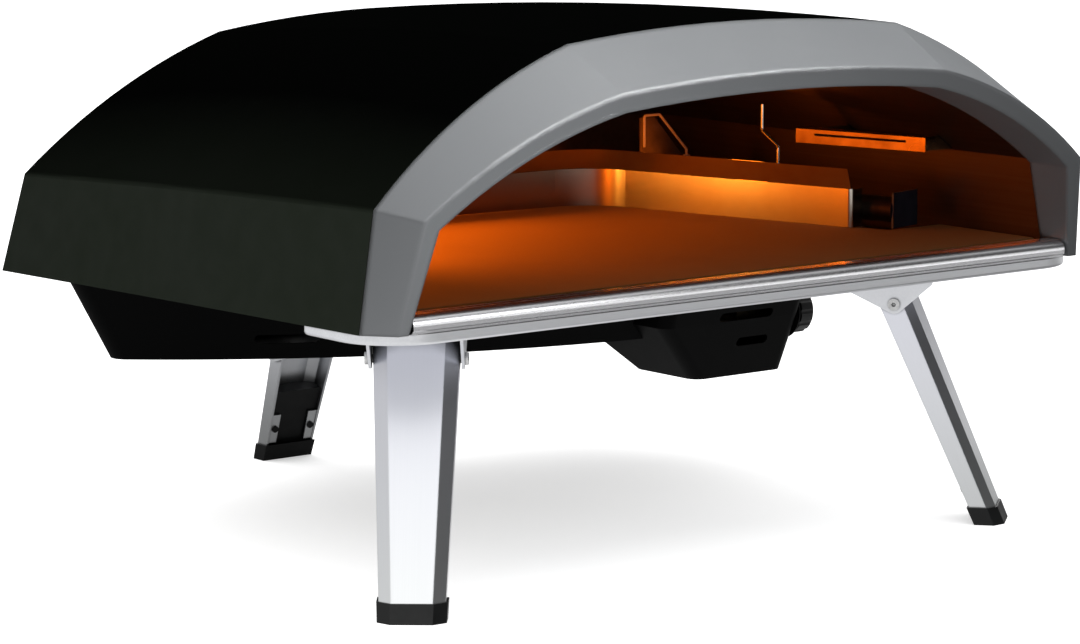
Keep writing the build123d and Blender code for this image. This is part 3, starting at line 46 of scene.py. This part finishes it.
class Tree:
    """A small builder for a node tree. Where a value is asked for, a socket to link will do as well."""

    def __init__(self, tree):
        self.tree = tree

    def put(self, socket, value):
        if isinstance(value, bpy.types.NodeSocket):
            self.tree.links.new(value, socket)
        else:
            socket.default_value = value

    def add(self, kind, **inputs):
        """A node of a kind, with inputs set by name."""
        node = self.tree.nodes.new(kind)
        for key, value in inputs.items():
            self.put(node.inputs[key.replace("_", " ")], value)
        return node

    def operate(self, kind, operation, values):
        """A node that works on its inputs, which are set in their order."""
        node = self.tree.nodes.new(kind)
        node.operation = operation
        for socket, value in zip(node.inputs, values):
            self.put(socket, value)
        return node

    def math(self, operation, *values):
        return self.operate("ShaderNodeMath", operation, values).outputs[0]

    def measure(self, operation, *vectors):
        """A number worked out from vectors, such as a length."""
        return self.operate("ShaderNodeVectorMath", operation, vectors).outputs["Value"]

    def part(self, vector, letter):
        """One coordinate of a vector."""
        return self.add("ShaderNodeSeparateXYZ", Vector=vector).outputs[letter]

    def sum(self, first, second, second_share=1.0):
        return self.math("MULTIPLY_ADD", second, second_share, first)

    def product(self, first, second):
        return self.math("MULTIPLY", first, second)

    def ramp(self, value, low, high, from_low=NOISE_LOW, from_high=NOISE_HIGH):
        """A value carried from one range to another, held at both ends."""
        node = self.add("ShaderNodeMapRange", Value=value, From_Min=from_low, From_Max=from_high, To_Min=low,
                        To_Max=high)
        return node.outputs["Result"]

    def mix(self, factor, first, second, kind="FLOAT"):
        """A value that goes from the first to the second as the factor goes from 0 to 1."""
        node = self.tree.nodes.new("ShaderNodeMix")
        node.data_type = kind
        first_place, second_place, out_place = MIX_PLACES[kind]
        for place, value in ((0, factor), (first_place, first), (second_place, second)):
            self.put(node.inputs[place], value)
        return node.outputs[out_place]

    def blend(self, factor, first, second):
        """A colour between two others."""
        return self.mix(factor, first, second, "RGBA")


class Skin(Tree):
    """A new material, with what its surface is made of."""

    def __init__(self, name):
        self.material = bpy.data.materials.new(name)
        self.material.use_nodes = True
        super().__init__(self.material.node_tree)
        self.shader = self.tree.nodes["Principled BSDF"]
        self.coords = self.add("ShaderNodeTexCoord").outputs["Object"]

    def set(self, **inputs):
        """Inputs of the shader, by name."""
        for key, value in inputs.items():
            self.put(self.shader.inputs[key.replace("_", " ")], value)

    def turned(self, axes):
        """Object coordinates along three given directions."""
        out = self.add("ShaderNodeCombineXYZ")
        for letter, axis in zip("XYZ", axes):
            self.put(out.inputs[letter], self.measure("DOT_PRODUCT", self.coords, axis))
        return out.outputs[0]

    def scaled(self, scale, coords=None):
        return self.add("ShaderNodeMapping", Vector=coords or self.coords, Scale=scale).outputs[0]

    def noise(self, scale, detail=3.0, rough=0.5, coords=None):
        node = self.add("ShaderNodeTexNoise", Vector=coords or self.coords, Scale=scale, Detail=detail,
                        Roughness=rough)
        return node.outputs["Fac"]

    def streaks(self, scale, detail, rough, coords=None):
        """Noise stretched by its own scale along each axis."""
        return self.noise(1.0, detail, rough, self.scaled(scale, coords))

    def mottled(self, pattern, first, second):
        """A colour that changes between two others with a noise."""
        return self.blend(self.ramp(pattern, 0.0, 1.0), first, second)

    def bump(self, height, distance, edge=0.0):
        """A relief over the surface, with edges rounded to a radius where one is given."""
        node = self.add("ShaderNodeBump", Height=height, Distance=distance)
        if edge:
            self.put(node.inputs["Normal"], self.add("ShaderNodeBevel", Radius=edge).outputs[0])
        self.set(Normal=node.outputs[0])

    def with_painted_shade(self, color, reach=PAINTED_SHADE_DISTANCE):
        """A colour that darkens with painted shade in gaps and recesses."""
        node = self.add("ShaderNodeAmbientOcclusion", Distance=reach)
        return self.blend(self.ramp(node.outputs["AO"], 0.0, 1.0, *PAINTED_SHADE_SPAN), grey(PAINTED_SHADE_GREY), color)


# Clouds of tone and patches of gloss in a metre of powder coat, and how much the gloss changes
COAT_CLOUDS, COAT_GLOSS, GLOSS_CHANGE = 9.0, 60.0, 0.01
# Depth of the pebbles of a black coat and of the arch's smoother one
PEBBLE_DEPTH, ARCH_PEBBLE_DEPTH = 0.00006, 0.000003
# Radii that shading gives to the edges of the arch and of a leg
ARCH_ROUND, LEG_ROUND = 0.0045, 0.0012
# Depth of the lines that coarse, fine and satin brushing leave, and of those along a leg
COARSE_BRUSH, FINE_BRUSH, SATIN_BRUSH, LEG_BRUSH = 0.00002, 0.000006, 0.000004, 0.000002
# Depth of the marks on small metal pieces, on plastic and on tinted steel
METAL_MARKS, PLASTIC_MARKS, TINT_MARKS = 0.00001, 0.00003, 0.00002
# Depth of the stone's pits, of the wool's fibres and of marks in glaze
STONE_PITS, WOOL_FIBRES, GLAZE_MARKS = 0.00025, 0.0006, 0.00001
# Streaks in a metre along brushed metal, and how many times wider than the fine ones the broad ones are
BRUSH_ALONG, BRUSH_BROAD = 6.0, 9
# How far back the guard's painted shade starts to darken it brown, and where it is full
GUARD_PAINTED_SHADE_PLACES = (0.08, 0.115)
# Heights between which a leg's painted sheen gets darker
LEG_PAINTED_SHEEN_PLACES = (0.02, 0.165)


def coat(name, color, lift, rough, grain, depth, specular, metallic=0.0, edge=0.0):
    """Powder coat: fine pebbled skin with a faint change of tone."""
    m = Skin(name)
    m.set(Base_Color=m.mottled(m.noise(COAT_CLOUDS, 4.0), color, lift), Metallic=metallic)
    gloss = m.ramp(m.noise(COAT_GLOSS), rough - GLOSS_CHANGE, rough + GLOSS_CHANGE)
    m.set(Roughness=gloss, Specular_IOR_Level=specular)
    m.bump(m.noise(grain, 2.0, 0.6), depth, edge)
    return m.material


def shell_body():
    """Powder coat that is green-black, with painted shade that turns the faces that look up deep black."""
    m = Skin("shell_coat")
    side = m.mottled(m.noise(COAT_CLOUDS, 4.0), (0.0265, 0.034, 0.0235, 1), (0.0315, 0.0385, 0.029, 1))
    up = m.part(m.add("ShaderNodeNewGeometry").outputs["Normal"], "Z")
    # Painted shade: the more a face looks up, the nearer its colour goes to deep black
    lift = m.ramp(up, 0.0, 1.0, 0.15, 0.85)
    m.set(Base_Color=m.blend(lift, side, (0.0009, 0.001, 0.0009, 1)))
    m.set(Roughness=m.ramp(m.noise(COAT_GLOSS), 0.6, 0.7))
    m.set(Specular_IOR_Level=m.ramp(lift, 0.08, 0.0, 0.0, 0.6))
    m.bump(m.noise(1900.0, 2.0, 0.6), PEBBLE_DEPTH)
    return m.material


def brushed(name, color, dark, rough, fine, depth, axes=LONGWAYS):
    """Brushed metal with streaks along the first of three axes."""
    m = Skin(name)
    turned, broad_scale = m.turned(axes), fine / BRUSH_BROAD
    lines = m.streaks((BRUSH_ALONG, fine, fine), 3.0, 0.6, turned)
    broad = m.streaks((BRUSH_ALONG / 2, broad_scale, broad_scale), 2.0, 0.5, turned)
    both = m.sum(lines, broad, 0.6)
    # The base colour carries painted shade in gaps and recesses
    m.set(Base_Color=m.with_painted_shade(m.blend(m.ramp(both, 0.0, 1.0, 0.55, 1.05), dark, color)), Metallic=1.0)
    m.set(Roughness=m.ramp(both, rough + 0.03, rough - 0.02, 0.55, 1.05))
    m.bump(lines, depth)
    return m.material


def plain_metal(name, color, dark, rough, grain=350.0, metallic=1.0):
    """Turned or rolled metal with small cloudy marks."""
    m = Skin(name)
    cloud = m.noise(grain, 4.0)
    # The base colour carries painted shade in gaps and recesses, such as round screw heads
    m.set(Base_Color=m.with_painted_shade(m.mottled(cloud, dark, color), SMALL_PAINTED_SHADE_DISTANCE), Metallic=metallic)
    m.set(Roughness=m.ramp(m.noise(grain / 3), rough - 0.06, rough + 0.08))
    m.bump(cloud, METAL_MARKS)
    return m.material


def moulded(name, color, lift, rough):
    """Moulded plastic with a fine spark-eroded grain."""
    m = Skin(name)
    m.set(Base_Color=m.mottled(m.noise(30.0), color, lift), Specular_IOR_Level=0.4)
    m.set(Roughness=m.ramp(m.noise(140.0), rough - 0.05, rough + 0.07))
    m.bump(m.noise(900.0, 2.0), PLASTIC_MARKS)
    return m.material


def guard_steel(name, deep):
    """Heat-tinted steel: streaks along the band, straw and brown clouds, and painted shade that darkens its
    deep part brown.
    """
    m = Skin(name)
    cloud = m.noise(14.0, 4.0, 0.6)
    straw = m.mottled(m.streaks((3.0, 3.0, 260.0), 2.0, 0.4), (0.655, 0.585, 0.485, 1), (0.67, 0.6, 0.5, 1))
    marked = m.blend(m.ramp(cloud, 0.0, 0.6, 0.45, 0.75), straw, (0.42, 0.27, 0.14, 1))
    # Painted shade: the guard darkens brown towards the back
    painted_shade_back = m.ramp(m.part(m.coords, "Y"), 0.0, deep, *GUARD_PAINTED_SHADE_PLACES)
    m.set(Base_Color=m.blend(painted_shade_back, marked, (0.13, 0.045, 0.015, 1)), Metallic=1.0)
    m.set(Roughness=m.ramp(cloud, 0.18, 0.22))
    m.bump(cloud, TINT_MARKS)
    return m.material


def stone_body():
    """Fired cordierite: pale tan, sandy, with small pits and faint toasted clouds."""
    m = Skin("stone_body")
    grain = m.noise(900.0, 4.0, 0.7)
    sand = m.mottled(grain, (0.37, 0.235, 0.085, 1), (0.45, 0.295, 0.12, 1))
    toast = m.ramp(m.noise(7.0, 5.0, 0.6), 0.0, 0.4, 0.45, 0.75)
    m.set(Base_Color=m.blend(toast, sand, (0.31, 0.19, 0.08, 1)))
    m.set(Roughness=m.ramp(grain, 0.82, 0.95), Specular_IOR_Level=0.2)
    m.bump(grain, STONE_PITS)
    return m.material


def wool_body():
    """Pale fibres that lie across the oven."""
    m = Skin("wool_body")
    fibre = m.streaks((90.0, 400.0, 400.0), 5.0, 0.7)
    m.set(Base_Color=m.mottled(fibre, (0.7, 0.68, 0.63, 1), (0.85, 0.84, 0.8, 1)), Roughness=0.95)
    m.bump(fibre, WOOL_FIBRES)
    return m.material


def ceramic_body():
    """Glazed off-white ceramic."""
    m = Skin("ceramic_body")
    m.set(Base_Color=m.mottled(m.noise(300.0), (0.78, 0.75, 0.7, 1), (0.86, 0.84, 0.8, 1)))
    m.set(Roughness=m.ramp(m.noise(90.0), 0.2, 0.34))
    m.bump(m.noise(500.0), GLAZE_MARKS)
    return m.material


def leg_axes(out, splay):
    """Directions up the leg, along its bolt and across, from its way out and its splay."""
    turn, lean = radians(out), radians(splay)
    out_x, out_y = sin(turn), cos(turn)
    return ((-out_x * sin(lean), -out_y * sin(lean), cos(lean)), (-out_y, out_x, 0),
            (out_x * cos(lean), out_y * cos(lean), sin(lean)))


def leg_body(name, axes):
    """Satin aluminium, brushed along the leg in fine lines, with a painted sheen that makes it a little
    darker towards its top, and painted shade in its gaps.
    """
    m = Skin(name)
    lines = m.streaks((3.0, 2200.0, 2200.0), 3.0, 0.6, m.turned(axes))
    # Painted sheen: lighter low on the leg and darker towards its top
    height = m.ramp(m.part(m.coords, "Z"), 0.0, 1.0, *LEG_PAINTED_SHEEN_PLACES)
    sheen = m.blend(height, (0.9215, 0.9405, 0.95, 1), (0.836, 0.8455, 0.9215, 1))
    brushed_and_sheen = m.blend(m.ramp(lines, 0.05, 0.0), sheen, grey(0.475))
    # The base colour carries painted shade in the leg's channel and gaps
    m.set(Base_Color=m.with_painted_shade(brushed_and_sheen, LEG_PAINTED_SHADE_DISTANCE), Metallic=1.0, Roughness=m.ramp(lines, 0.32, 0.29))
    m.bump(lines, LEG_BRUSH, LEG_ROUND)
    return m.material


# Each leg's way out in plan and its splay, in degrees, as in the part's source
FRONT_TURN, FRONT_SPLAY, REAR_SPLAY = 39.9, 22.6, 18.0
LEGS = {
    "front_left": (180.0 + FRONT_TURN, FRONT_SPLAY),
    "front_right": (180.0 - FRONT_TURN, FRONT_SPLAY),
    "rear": (0.0, REAR_SPLAY),
}

shell_coat = shell_body()
housing_coat = coat("housing_coat", (0.0016, 0.0017, 0.0018, 1), (0.0026, 0.0027, 0.0028, 1), rough=0.5,
                    grain=1500.0, depth=PEBBLE_DEPTH, specular=0.05)
arch_coat = coat("arch_coat", (0.195, 0.203, 0.212, 1), (0.205, 0.213, 0.222, 1), rough=0.33, grain=2400.0,
                 depth=ARCH_PEBBLE_DEPTH, specular=0.45, metallic=0.12, edge=ARCH_ROUND)

steel_bright = brushed("steel_bright", (0.88, 0.88, 0.9, 1), (0.78, 0.78, 0.8, 1), 0.26, 700.0, FINE_BRUSH)
steel_tray = brushed("steel_tray", (0.84, 0.85, 0.87, 1), (0.76, 0.77, 0.8, 1), 0.32, 700.0, FINE_BRUSH)
steel_plate = brushed("steel_plate", (0.84, 0.85, 0.88, 1), (0.8, 0.81, 0.84, 1), 0.38, 700.0, SATIN_BRUSH)
steel_inner = brushed("steel_inner", (0.62, 0.6, 0.57, 1), (0.4, 0.38, 0.35, 1), 0.36, 300.0, COARSE_BRUSH)
steel_liner = brushed("steel_liner", (0.17, 0.13, 0.1, 1), (0.13, 0.095, 0.07, 1), 0.42, 260.0, FINE_BRUSH,
                      INWARDS)

screw_metal = plain_metal("screw_metal", grey(0.75), grey(0.5), 0.25)
brass = plain_metal("brass", (0.72, 0.52, 0.26, 1), (0.55, 0.38, 0.17, 1), 0.3)
# A darker copy of brass with painted shade, for the valve and the jet elbow inside the housing
brass_in_painted_shade = plain_metal("brass_in_painted_shade", (0.05, 0.038, 0.024, 1), (0.03, 0.024, 0.018, 1), 0.45)
black_metal = plain_metal("black_metal", grey(0.012), grey(0.006), 0.42, metallic=0.4)
cap_metal = plain_metal("cap_metal", (0.085, 0.1, 0.16, 1), (0.055, 0.065, 0.11, 1), 0.5, 60.0)
pipe_metal = plain_metal("pipe_metal", grey(0.78), grey(0.62), 0.3)
burner_metal = plain_metal("burner_metal", (0.035, 0.027, 0.022, 1), (0.02, 0.015, 0.012, 1), 0.55, 90.0)
rail_steel = plain_metal("rail_steel", (0.32, 0.22, 0.13, 1), (0.14, 0.08, 0.04, 1), 0.3, 45.0)
dark_steel = plain_metal("dark_steel", (0.16, 0.12, 0.09, 1), (0.1, 0.075, 0.055, 1), 0.42, 90.0)

foot_plastic = moulded("foot_plastic", (0.003, 0.0033, 0.0035, 1), (0.006, 0.0063, 0.0065, 1), 0.45)
knob_plastic = moulded("knob_plastic", (0.01, 0.01, 0.01, 1), (0.016, 0.016, 0.016, 1), 0.42)
unit_plastic = moulded("unit_plastic", (0.03, 0.03, 0.03, 1), (0.04, 0.04, 0.04, 1), 0.5)
lead_rubber = moulded("lead_rubber", (0.35, 0.03, 0.02, 1), (0.42, 0.05, 0.03, 1), 0.55)

finishes = {
    "outer_shell": shell_coat, "rear_cover": shell_coat, "front_arch": arch_coat,
    "front_seam_band": steel_inner, "rear_seam_band": steel_inner, "liner": steel_liner,
    "insulation_blanket": wool_body(), "front_tray": steel_tray, "front_lip": steel_bright,
    "leg_mount_plates": steel_plate, "floor_pan": steel_inner, "baking_stone": stone_body(),
    "flame_guard": guard_steel("guard_steel", 0.85), "guard_lip": guard_steel("strip_steel", 0.2),
    "heat_rail": rail_steel, "electrode_bracket": dark_steel, "burner_tube": burner_metal,
    "burner_end_caps": cap_metal, "burner_posts": burner_metal, "mixer_tube": burner_metal,
    "burner_housing": housing_coat, "housing_screws": screw_metal, "gas_valve": brass_in_painted_shade,
    "valve_stem": screw_metal, "knob_bezel": black_metal, "control_knob": knob_plastic,
    "jet_elbow": brass_in_painted_shade, "gas_jet": brass, "gas_inlet": brass, "gas_pipe": pipe_metal,
    "igniter_electrode": ceramic_body(), "flame_probe": screw_metal, "spark_unit": unit_plastic,
    "spark_lead": lead_rubber,
}
for leg, (out, splay) in LEGS.items():
    finishes[f"{leg}_leg"] = leg_body(f"{leg}_skin", leg_axes(out, splay))
    finishes[f"{leg}_foot_cap"] = foot_plastic
    finishes[f"{leg}_foot_screws"] = black_metal
    finishes[f"{leg}_bracket"] = steel_plate
    finishes[f"{leg}_hinge_bolt"] = screw_metal
for name, obj in nodes.items():
    obj.data.materials.clear()
    obj.data.materials.append(finishes[name])

# Rounded edges: their widths in metres, and the angle in degrees from which an edge is one
ARCH_EDGE, LEG_EDGE = 0.0022, 0.0004
EDGE_ANGLE = 18.0


def soften(name, width, segments=2):
    """Rounded edges on a CAD node."""
    bevel = nodes[name].modifiers.new("soft_edges", "BEVEL")
    bevel.width = width
    bevel.segments = segments
    bevel.limit_method = "ANGLE"
    bevel.angle_limit = radians(EDGE_ANGLE)
    bevel.use_clamp_overlap = True
    bevel.harden_normals = True


soften("front_arch", ARCH_EDGE, 3)
for leg in LEGS:
    soften(f"{leg}_leg", LEG_EDGE)
    soften(f"{leg}_foot_cap", LEG_EDGE)

# How white the ground glows to the camera, in the painted shadow where the object covers it and where it is
# open
FLOOR_SEEN = (0.46, 0.87)
# How far up the ground looks for what covers it, how open it is where its painted shadow is darkest and where
# it is white, and in how many rays
SHADE_REACH, SHADE_OPEN, SHADE_SAMPLES = 0.4, (0.04, 0.42), 8
# How much whiter the ground looks far off, where the lamp over it fades, and from where to where that grows
FLOOR_FAR, FLOOR_FADE = 1.16, (1.0, 3.0)
# How white the ground looks in reflections, and what share of that its dark patches keep
FLOOR_MIRRORED, FLOOR_PATCH_SHARE = 0.8, 0.1
# Each dark patch's centre, and the radii where it is darkest and where it ends
FLOOR_PATCHES = (((1.0, -1.0, 0), 0.7, 1.35), ((0, 0.5, 0), 0.2, 0.7))
# How far the ground reaches each way
FLOOR_HALF = 30


def floor_body():
    """Plain white ground: it shows the object's shadow, partly cast by the lamp over it and partly painted by
    how much the object covers it, and reflects as a light field with dark patches.
    """
    m = Skin("floor_body")
    rays = m.add("ShaderNodeLightPath")
    seen = m.sum(rays.outputs["Is Camera Ray"], rays.outputs["Is Transmission Ray"])
    m.set(Base_Color=m.blend(seen, grey(0.12), grey(0.8)), Roughness=0.9, Specular_IOR_Level=0.0)
    mirrored = m.product(rays.outputs["Is Glossy Ray"], FLOOR_MIRRORED)
    for centre, inner, outer in FLOOR_PATCHES:
        away = m.measure("DISTANCE", m.coords, centre)
        mirrored = m.product(mirrored, m.ramp(away, FLOOR_PATCH_SHARE, 1.0, inner, outer))
    # Painted shadow: the ground's glow to the camera dims where the object covers it
    cover = m.add("ShaderNodeAmbientOcclusion", Distance=SHADE_REACH)
    cover.samples = SHADE_SAMPLES
    far = m.ramp(m.measure("LENGTH", m.coords), 1.0, FLOOR_FAR, *FLOOR_FADE)
    seen_with_painted_shadow = m.product(m.product(seen, far), m.ramp(cover.outputs["AO"], *FLOOR_SEEN, *SHADE_OPEN))
    m.set(Emission_Color=WHITE, Emission_Strength=m.sum(mirrored, seen_with_painted_shadow))
    return m.material


ground_corners = [(FLOOR_HALF * x, FLOOR_HALF * y, 0) for x, y in ((-1, -1), (1, -1), (1, 1), (-1, 1))]
ground_mesh = bpy.data.meshes.new("studio_floor")
ground_mesh.from_pydata(ground_corners, [], [(0, 1, 2, 3)])
ground = bpy.data.objects.new("studio_floor", ground_mesh)
bpy.context.scene.collection.objects.link(ground)
ground.data.materials.append(floor_body())

world = bpy.data.worlds.new("studio_sky")
bpy.context.scene.world = world
world.use_nodes = True
world.cycles.sampling_method = "NONE"
sky = Tree(world.node_tree)

# Panels that reflections see: direction, cosines where they start and are full, strength, how fast they fall
SKY_PANELS = (
    ((-0.61, -0.61, 0.51), 0.6, 0.95, 1.07, 1.3),
    ((-0.86, 0.4, 0.3), 0.5, 0.95, 0.6, 1.0),
    ((0.0, -0.1, 1.0), 0.6, 0.87, 1.1, 1.0),
)
# How bright the sky is between its panels in reflections, and as light on other surfaces, and to the camera
SKY_BETWEEN, SKY_LIGHT, SKY_SEEN = 0.05, 0.1, 1.0


def sky_panel(towards, start, full, strength, fall):
    """Brightness that grows with how far a direction turns towards the given one."""
    turn = sky.measure("DOT_PRODUCT", sky_direction, towards)
    return sky.product(sky.math("POWER", sky.ramp(turn, 0.0, 1.0, start, full), fall), strength)


sky_direction = sky.add("ShaderNodeTexCoord").outputs["Generated"]
mirrored, *other_panels = [sky_panel(*panel) for panel in SKY_PANELS]
for panel in other_panels:
    mirrored = sky.math("MAXIMUM", mirrored, panel)
rays = sky.add("ShaderNodeLightPath")
room = sky.mix(rays.outputs["Is Glossy Ray"], SKY_LIGHT, sky.math("ADD", mirrored, SKY_BETWEEN))
background = sky.tree.nodes["Background"]
sky.put(background.inputs["Color"], WHITE)
sky.put(background.inputs["Strength"], sky.mix(rays.outputs["Is Camera Ray"], room, SKY_SEEN))


def lit_group(name, members):
    """A collection that lamps can be limited to."""
    group = bpy.data.collections.new(name)
    for member in members:
        group.objects.link(member)
    return group


def lamp(name, at, aim, size, power, group, tall=None, color=(1, 1, 1), spread=180.0):
    """A lamp at a place, aimed at a point, that lights one group. It is square unless tall is given."""
    data = bpy.data.lights.new(name, "AREA")
    data.shape = "RECTANGLE"
    data.size = size
    data.size_y = tall or size
    data.energy = power
    data.spread = radians(spread)
    data.color = color
    obj = bpy.data.objects.new(name, data)
    obj.location = at
    obj.rotation_mode = "QUATERNION"
    obj.rotation_quaternion = (Vector(aim) - Vector(at)).to_track_quat("-Z", "Y")
    obj.visible_camera = False
    obj.light_linking.receiver_collection = group
    bpy.context.scene.collection.objects.link(obj)
    return obj


inner_names = (
    "liner", "baking_stone", "flame_guard", "guard_lip", "heat_rail", "electrode_bracket",
    "igniter_electrode", "flame_probe", "burner_tube", "burner_end_caps", "burner_posts", "mixer_tube",
    "insulation_blanket", "floor_pan",
)
outer_names = [name for name in nodes if name not in inner_names]

fire_lit = lit_group("fire_lit", [nodes[name] for name in inner_names])
studio_lit = lit_group("studio_lit", [nodes[name] for name in outer_names])
arch_lit = lit_group("arch_lit", [nodes["front_arch"]])
side_lit = lit_group("side_lit", [nodes[name] for name in outer_names if name != "front_arch"])
floor_lit = lit_group("floor_lit", [ground])
steel_lit = lit_group("steel_lit", [nodes[name] for name in ("front_tray", "front_lip")])
guard_lit = lit_group("guard_lit", [nodes[name] for name in ("flame_guard", "guard_lip")])

# Soft light that no piece mirrors
for light in (
    lamp("key_top", at=(0.8, -0.6, 2.6), aim=(0, 0, 0.25), size=1.5, power=88, group=studio_lit),
    lamp("key_left", at=(-1.6, -1.0, 0.95), aim=(-0.2, -0.1, 0.2), size=0.9, power=9, group=side_lit),
    lamp("arch_left", at=(-0.65, -1.15, 0.12), aim=(-0.2, -0.3, 0.35), size=0.3, power=0.95, group=arch_lit,
         spread=54.0),
    lamp("floor_wash", at=(0.1, 1.3, 2.6), aim=(0.1, 1.31, 0), size=7.0, power=200, group=floor_lit),
):
    light.visible_glossy = False

lamp("rear_fill", at=(1.3, 1.6, 1.2), aim=(0, 0.1, 0.2), size=1.2, power=22, group=side_lit)

# Light that shows only in mirrors: two panels in the folded steel at the mouth and a strip in the arch
for panel in (
    lamp("mouth_panel", at=(1.3, -1.7, 0.35), aim=(0, -0.27, 0.19), size=1.2, tall=0.5, power=1.8,
         group=steel_lit),
    lamp("lip_panel", at=(0.1, -0.9, 0.5), aim=(-0.15, -0.28, 0.2), size=0.5, tall=0.25, power=1.2,
         group=steel_lit),
    lamp("edge_strip", at=(0.35, -0.98, 1.45), aim=(0, -0.3, 0.35), size=1.6, tall=0.2, power=110,
         group=arch_lit),
):
    panel.visible_diffuse = False

# The burner's glow at the back, at the right and at the left of the cavity
FIRE, STREAK = (1.0, 0.19, 0.008), (1.0, 0.36, 0.04)
lamp("fire_back", at=(-0.1, 0.135, 0.275), aim=(-0.1, -0.1, 0.2), size=0.3, tall=0.03, power=0.8,
     group=fire_lit, color=FIRE)
lamp("fire_side", at=(0.222, 0.0, 0.275), aim=(0.0, -0.03, 0.2), size=0.03, tall=0.2, power=0.15,
     group=fire_lit, color=FIRE)
lamp("fire_left", at=(-0.2, -0.02, 0.27), aim=(0.1, 0.02, 0.2), size=0.05, tall=0.12, power=0.45,
     group=fire_lit, color=FIRE)

# Glow that the bend of the guard mirrors as an upright streak
streak = lamp("streak", at=(-0.2, 0.1, 0.21), aim=(0.14, 0.085, 0.215), size=0.03, tall=0.08, power=0.25,
              group=guard_lit, color=STREAK)
streak.visible_diffuse = False

eye = bpy.data.cameras.new("view")
eye.sensor_width = CAMERA_SENSOR
eye.lens = CAMERA_LENS
eye.clip_start = CAMERA_NEAR
camera = bpy.data.objects.new("view", eye)
camera.location = CAMERA_AT
camera.rotation_mode = "QUATERNION"
camera.rotation_quaternion = Vector(CAMERA_SIGHT).to_track_quat("-Z", "Y")
bpy.context.scene.collection.objects.link(camera)
bpy.context.scene.camera = camera
bpy.context.scene.view_settings.view_transform = "Standard"
